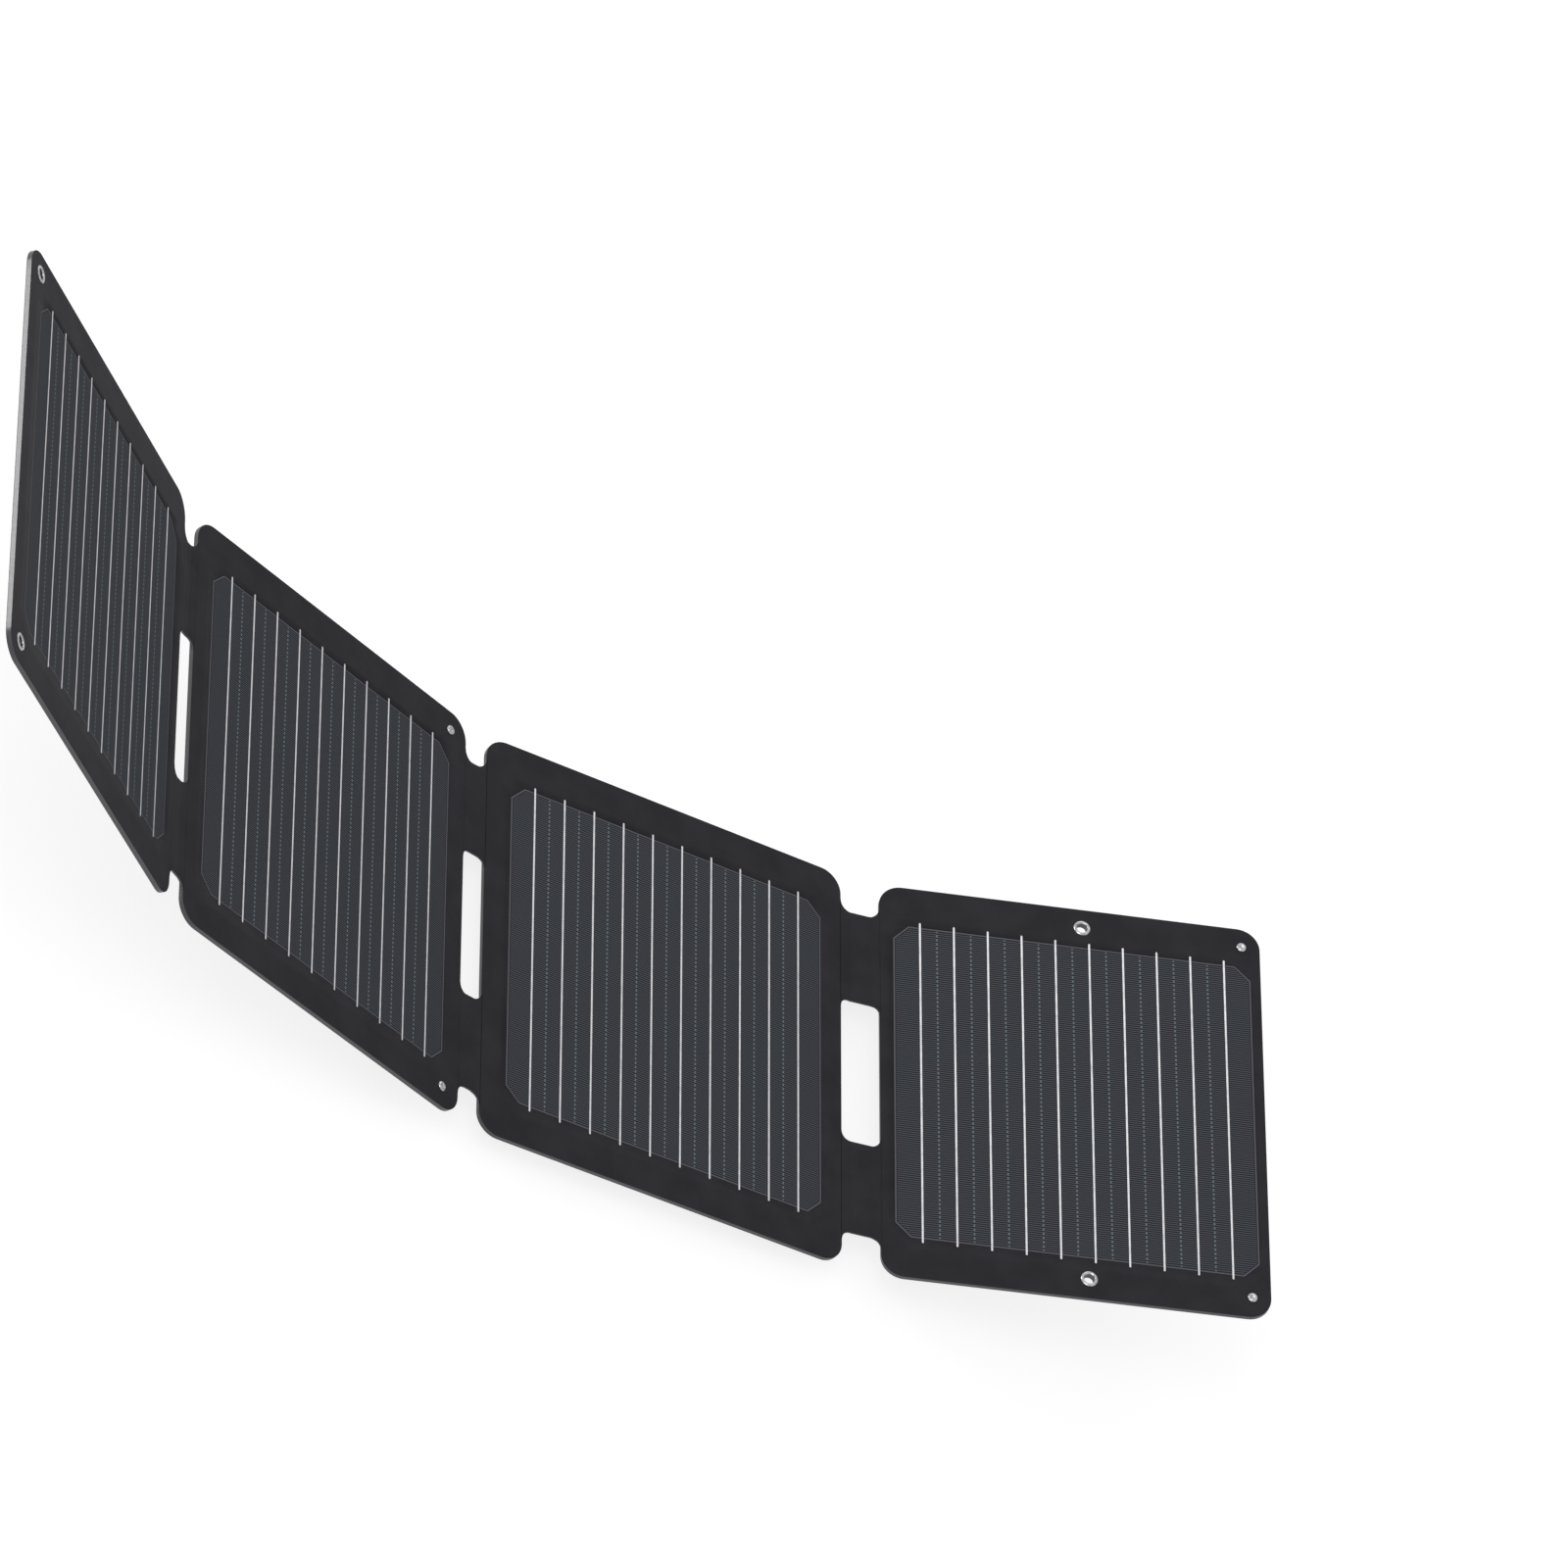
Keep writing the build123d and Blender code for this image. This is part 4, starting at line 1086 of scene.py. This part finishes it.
DIGIT_H = 6.2
DIGIT_W = 3.3
DIGIT_GAP = 1.05  # from the display's middle to each figure
STROKE = 0.62
STROKE_TRIM = 0.22  # how much shorter a stroke is at each end, as a share of its width
STROKE_FRONT = -0.04  # heights of a stroke's two faces from the window's face
STROKE_BACK = 0.03
POINT_DOWN = -0.35  # ends of the decimal point, from the foot of the figures
POINT_UP = 0.75
SEGMENTS = {
    "a": ((0, 1), (1, 1)), "b": ((1, 1), (1, 0.5)), "c": ((1, 0.5), (1, 0)), "d": ((0, 0), (1, 0)),
    "e": ((0, 0), (0, 0.5)), "f": ((0, 0.5), (0, 1)), "g": ((0, 0.5), (1, 0.5)),
}


def stroke_outline(x0, y0, x1, y1):
    """Outline of a stroke with pointed ends, x measured to the reader's right."""
    along = Vector((x1 - x0, y1 - y0))
    length = along.length
    along.normalize()
    side = Vector((-along.y, along.x)) * STROKE / 2
    trim = STROKE * STROKE_TRIM
    a, b = Vector((x0, y0)) + along * trim, Vector((x1, y1)) - along * trim
    point = min(STROKE / 2, length / 4)
    return [a, a + along * point + side, b - along * point + side, b,
            b - along * point - side, a + along * point - side]


def make_digits():
    """Lit strokes of the two-figure meter display, upright for a reader behind the panel."""
    low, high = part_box("power_box_window")
    middle = (low + high) / 2
    mesh = Mesh()

    def bar(*ends):
        rings = []
        for z in (STROKE_BACK, STROKE_FRONT):
            rings.append([len(mesh.points) + i for i in range(6)])
            for p in stroke_outline(*ends):
                mesh.points.append(Vector((middle.x - p.x * MM, middle.y + p.y * MM, low.z + z * MM)))
        mesh.strip(rings[0], rings[1])
        mesh.face(rings[1])

    for names, left in (("bcfg", -DIGIT_W - DIGIT_GAP), ("abcdefg", DIGIT_GAP)):
        for name in names:
            (x0, y0), (x1, y1) = SEGMENTS[name]
            bar(left + x0 * DIGIT_W, (y0 - 0.5) * DIGIT_H, left + x1 * DIGIT_W, (y1 - 0.5) * DIGIT_H)
    bar(0, -DIGIT_H / 2 + POINT_DOWN, 0, -DIGIT_H / 2 + POINT_UP)
    tie(mesh.build("meter_digits", [DIGIT], smooth=False), "hub_panel", "display_red")


# -------- stage


# Lengths in metres, powers in watts
FLOOR_HALF = 12.0
FLOOR_Z = -0.0004
FLOOR_TONES = (srgb(136, 136, 136), srgb(140, 140, 140))
FLOOR_GLOW = (0.5, 0.8)  # for the light it gives, and for the camera
WORLD_GLOW = (0.68, 1.0)
TOUCHING = 0.003  # light rays shorter than this pass through the floor
LIGHTS = (  # name, position, size, power
    ("key", (-1.6, -0.9, 2.6), 1.6, 27.0),
    ("fill", (1.8, -1.6, 1.8), 2.2, 5.0),
    ("rim", (0.2, 2.2, 1.6), 1.8, 8.0),
    ("kicker", (-1.48, 0.86, 0.65), 0.5, 8.4),
)
CAMERA_SPOT = (-1.8057, -2.2780, 2.8294)
CAMERA_RIGHT = (0.822644, 0.000158, 0.568557)
CAMERA_BACK = (-0.464592, -0.576250, 0.672377)
CAMERA_LENS = 225.155
CAMERA_SENSOR = 36.0


def floor_paper():
    """Pale paper, brighter to the camera; clear from below and to light rays that start right beside it."""
    shader = Shader("floor_paper", Roughness=0.9, Specular_IOR_Level=0.1)
    path = shader.nodes.new("ShaderNodeLightPath")
    seen = path.outputs["Is Camera Ray"]
    paper = shader.noise(shader.object_mm(), 0.02, 2.0)
    shader.set(Base_Color=shader.mix(paper, *FLOOR_TONES), Emission_Color=(1.0, 1.0, 1.0, 1.0),
               Emission_Strength=shader.limit(seen, 0.0, 1.0, *FLOOR_GLOW))
    clear = shader.node("BsdfTransparent")
    touching = shader.math("LESS_THAN", path.outputs["Ray Length"], TOUCHING)
    touching = shader.times(touching, shader.math("SUBTRACT", 1.0, seen))
    under = shader.nodes.new("ShaderNodeNewGeometry").outputs["Backfacing"]
    under = shader.math("MAXIMUM", under, touching)
    both = shader.node("MixShader", {0: under, 1: shader.surface.outputs[0], 2: clear})
    shader.links.new(both, shader.nodes["Material Output"].inputs["Surface"])
    return shader.material


def make_floor():
    data = bpy.data.meshes.new("floor")
    signs = ((-1, -1), (1, -1), (1, 1), (-1, 1))
    data.from_pydata([(x * FLOOR_HALF, y * FLOOR_HALF, FLOOR_Z) for x, y in signs], [], [(0, 1, 2, 3)])
    data.materials.append(floor_paper())
    add_object("floor", data)


def make_lights():
    """Soft square lights that all face the middle of the object's foot."""
    for name, position, size, power in LIGHTS:
        data = bpy.data.lights.new(name, "AREA")
        data.energy, data.size = power, size
        light = add_object(name, data)
        light.location = position
        light.rotation_mode = "QUATERNION"
        light.rotation_quaternion = (-Vector(position)).to_track_quat("-Z", "Y")


def make_world():
    """White all round for the camera, and dimmer as a light."""
    world = bpy.data.worlds.new("studio")
    world.use_nodes = True
    nodes, links = world.node_tree.nodes, world.node_tree.links
    sky = nodes["Background"]
    sky.inputs[0].default_value = (1, 1, 1, 1)
    seen = nodes.new("ShaderNodeLightPath").outputs["Is Camera Ray"]
    bright = nodes.new("ShaderNodeMapRange")
    bright.inputs["To Min"].default_value, bright.inputs["To Max"].default_value = WORLD_GLOW
    links.new(seen, bright.inputs["Value"])
    links.new(bright.outputs[0], sky.inputs[1])
    SCENE.world = world


def make_camera():
    data = bpy.data.cameras.new("camera")
    data.sensor_width = CAMERA_SENSOR
    data.lens = CAMERA_LENS
    data.clip_start, data.clip_end = 0.1, 40.0
    camera = add_object("camera", data)
    right = Vector(CAMERA_RIGHT).normalized()
    back = Vector(CAMERA_BACK).normalized()
    up = back.cross(right).normalized()
    right = up.cross(back)
    turn = Matrix((right, up, back)).transposed()
    camera.matrix_world = Matrix.Translation(CAMERA_SPOT) @ turn.to_4x4()
    SCENE.camera = camera
    SCENE.view_settings.view_transform = "Standard"


# -------- build

EYELETS = {panel: spots_on(PLACES[panel], f"panel_{panel}_eyelets") for panel in (1, 4)}
dress_cad_nodes()
for number in (1, 2, 3, 4):
    make_front(number, EYELETS.get(number, []))
    make_back(number, EYELETS.get(number, []))
    make_edge(number)
make_fasteners()
make_hinges()
make_pouch()
make_cover()
make_digits()
make_floor()
make_lights()
make_world()
make_camera()
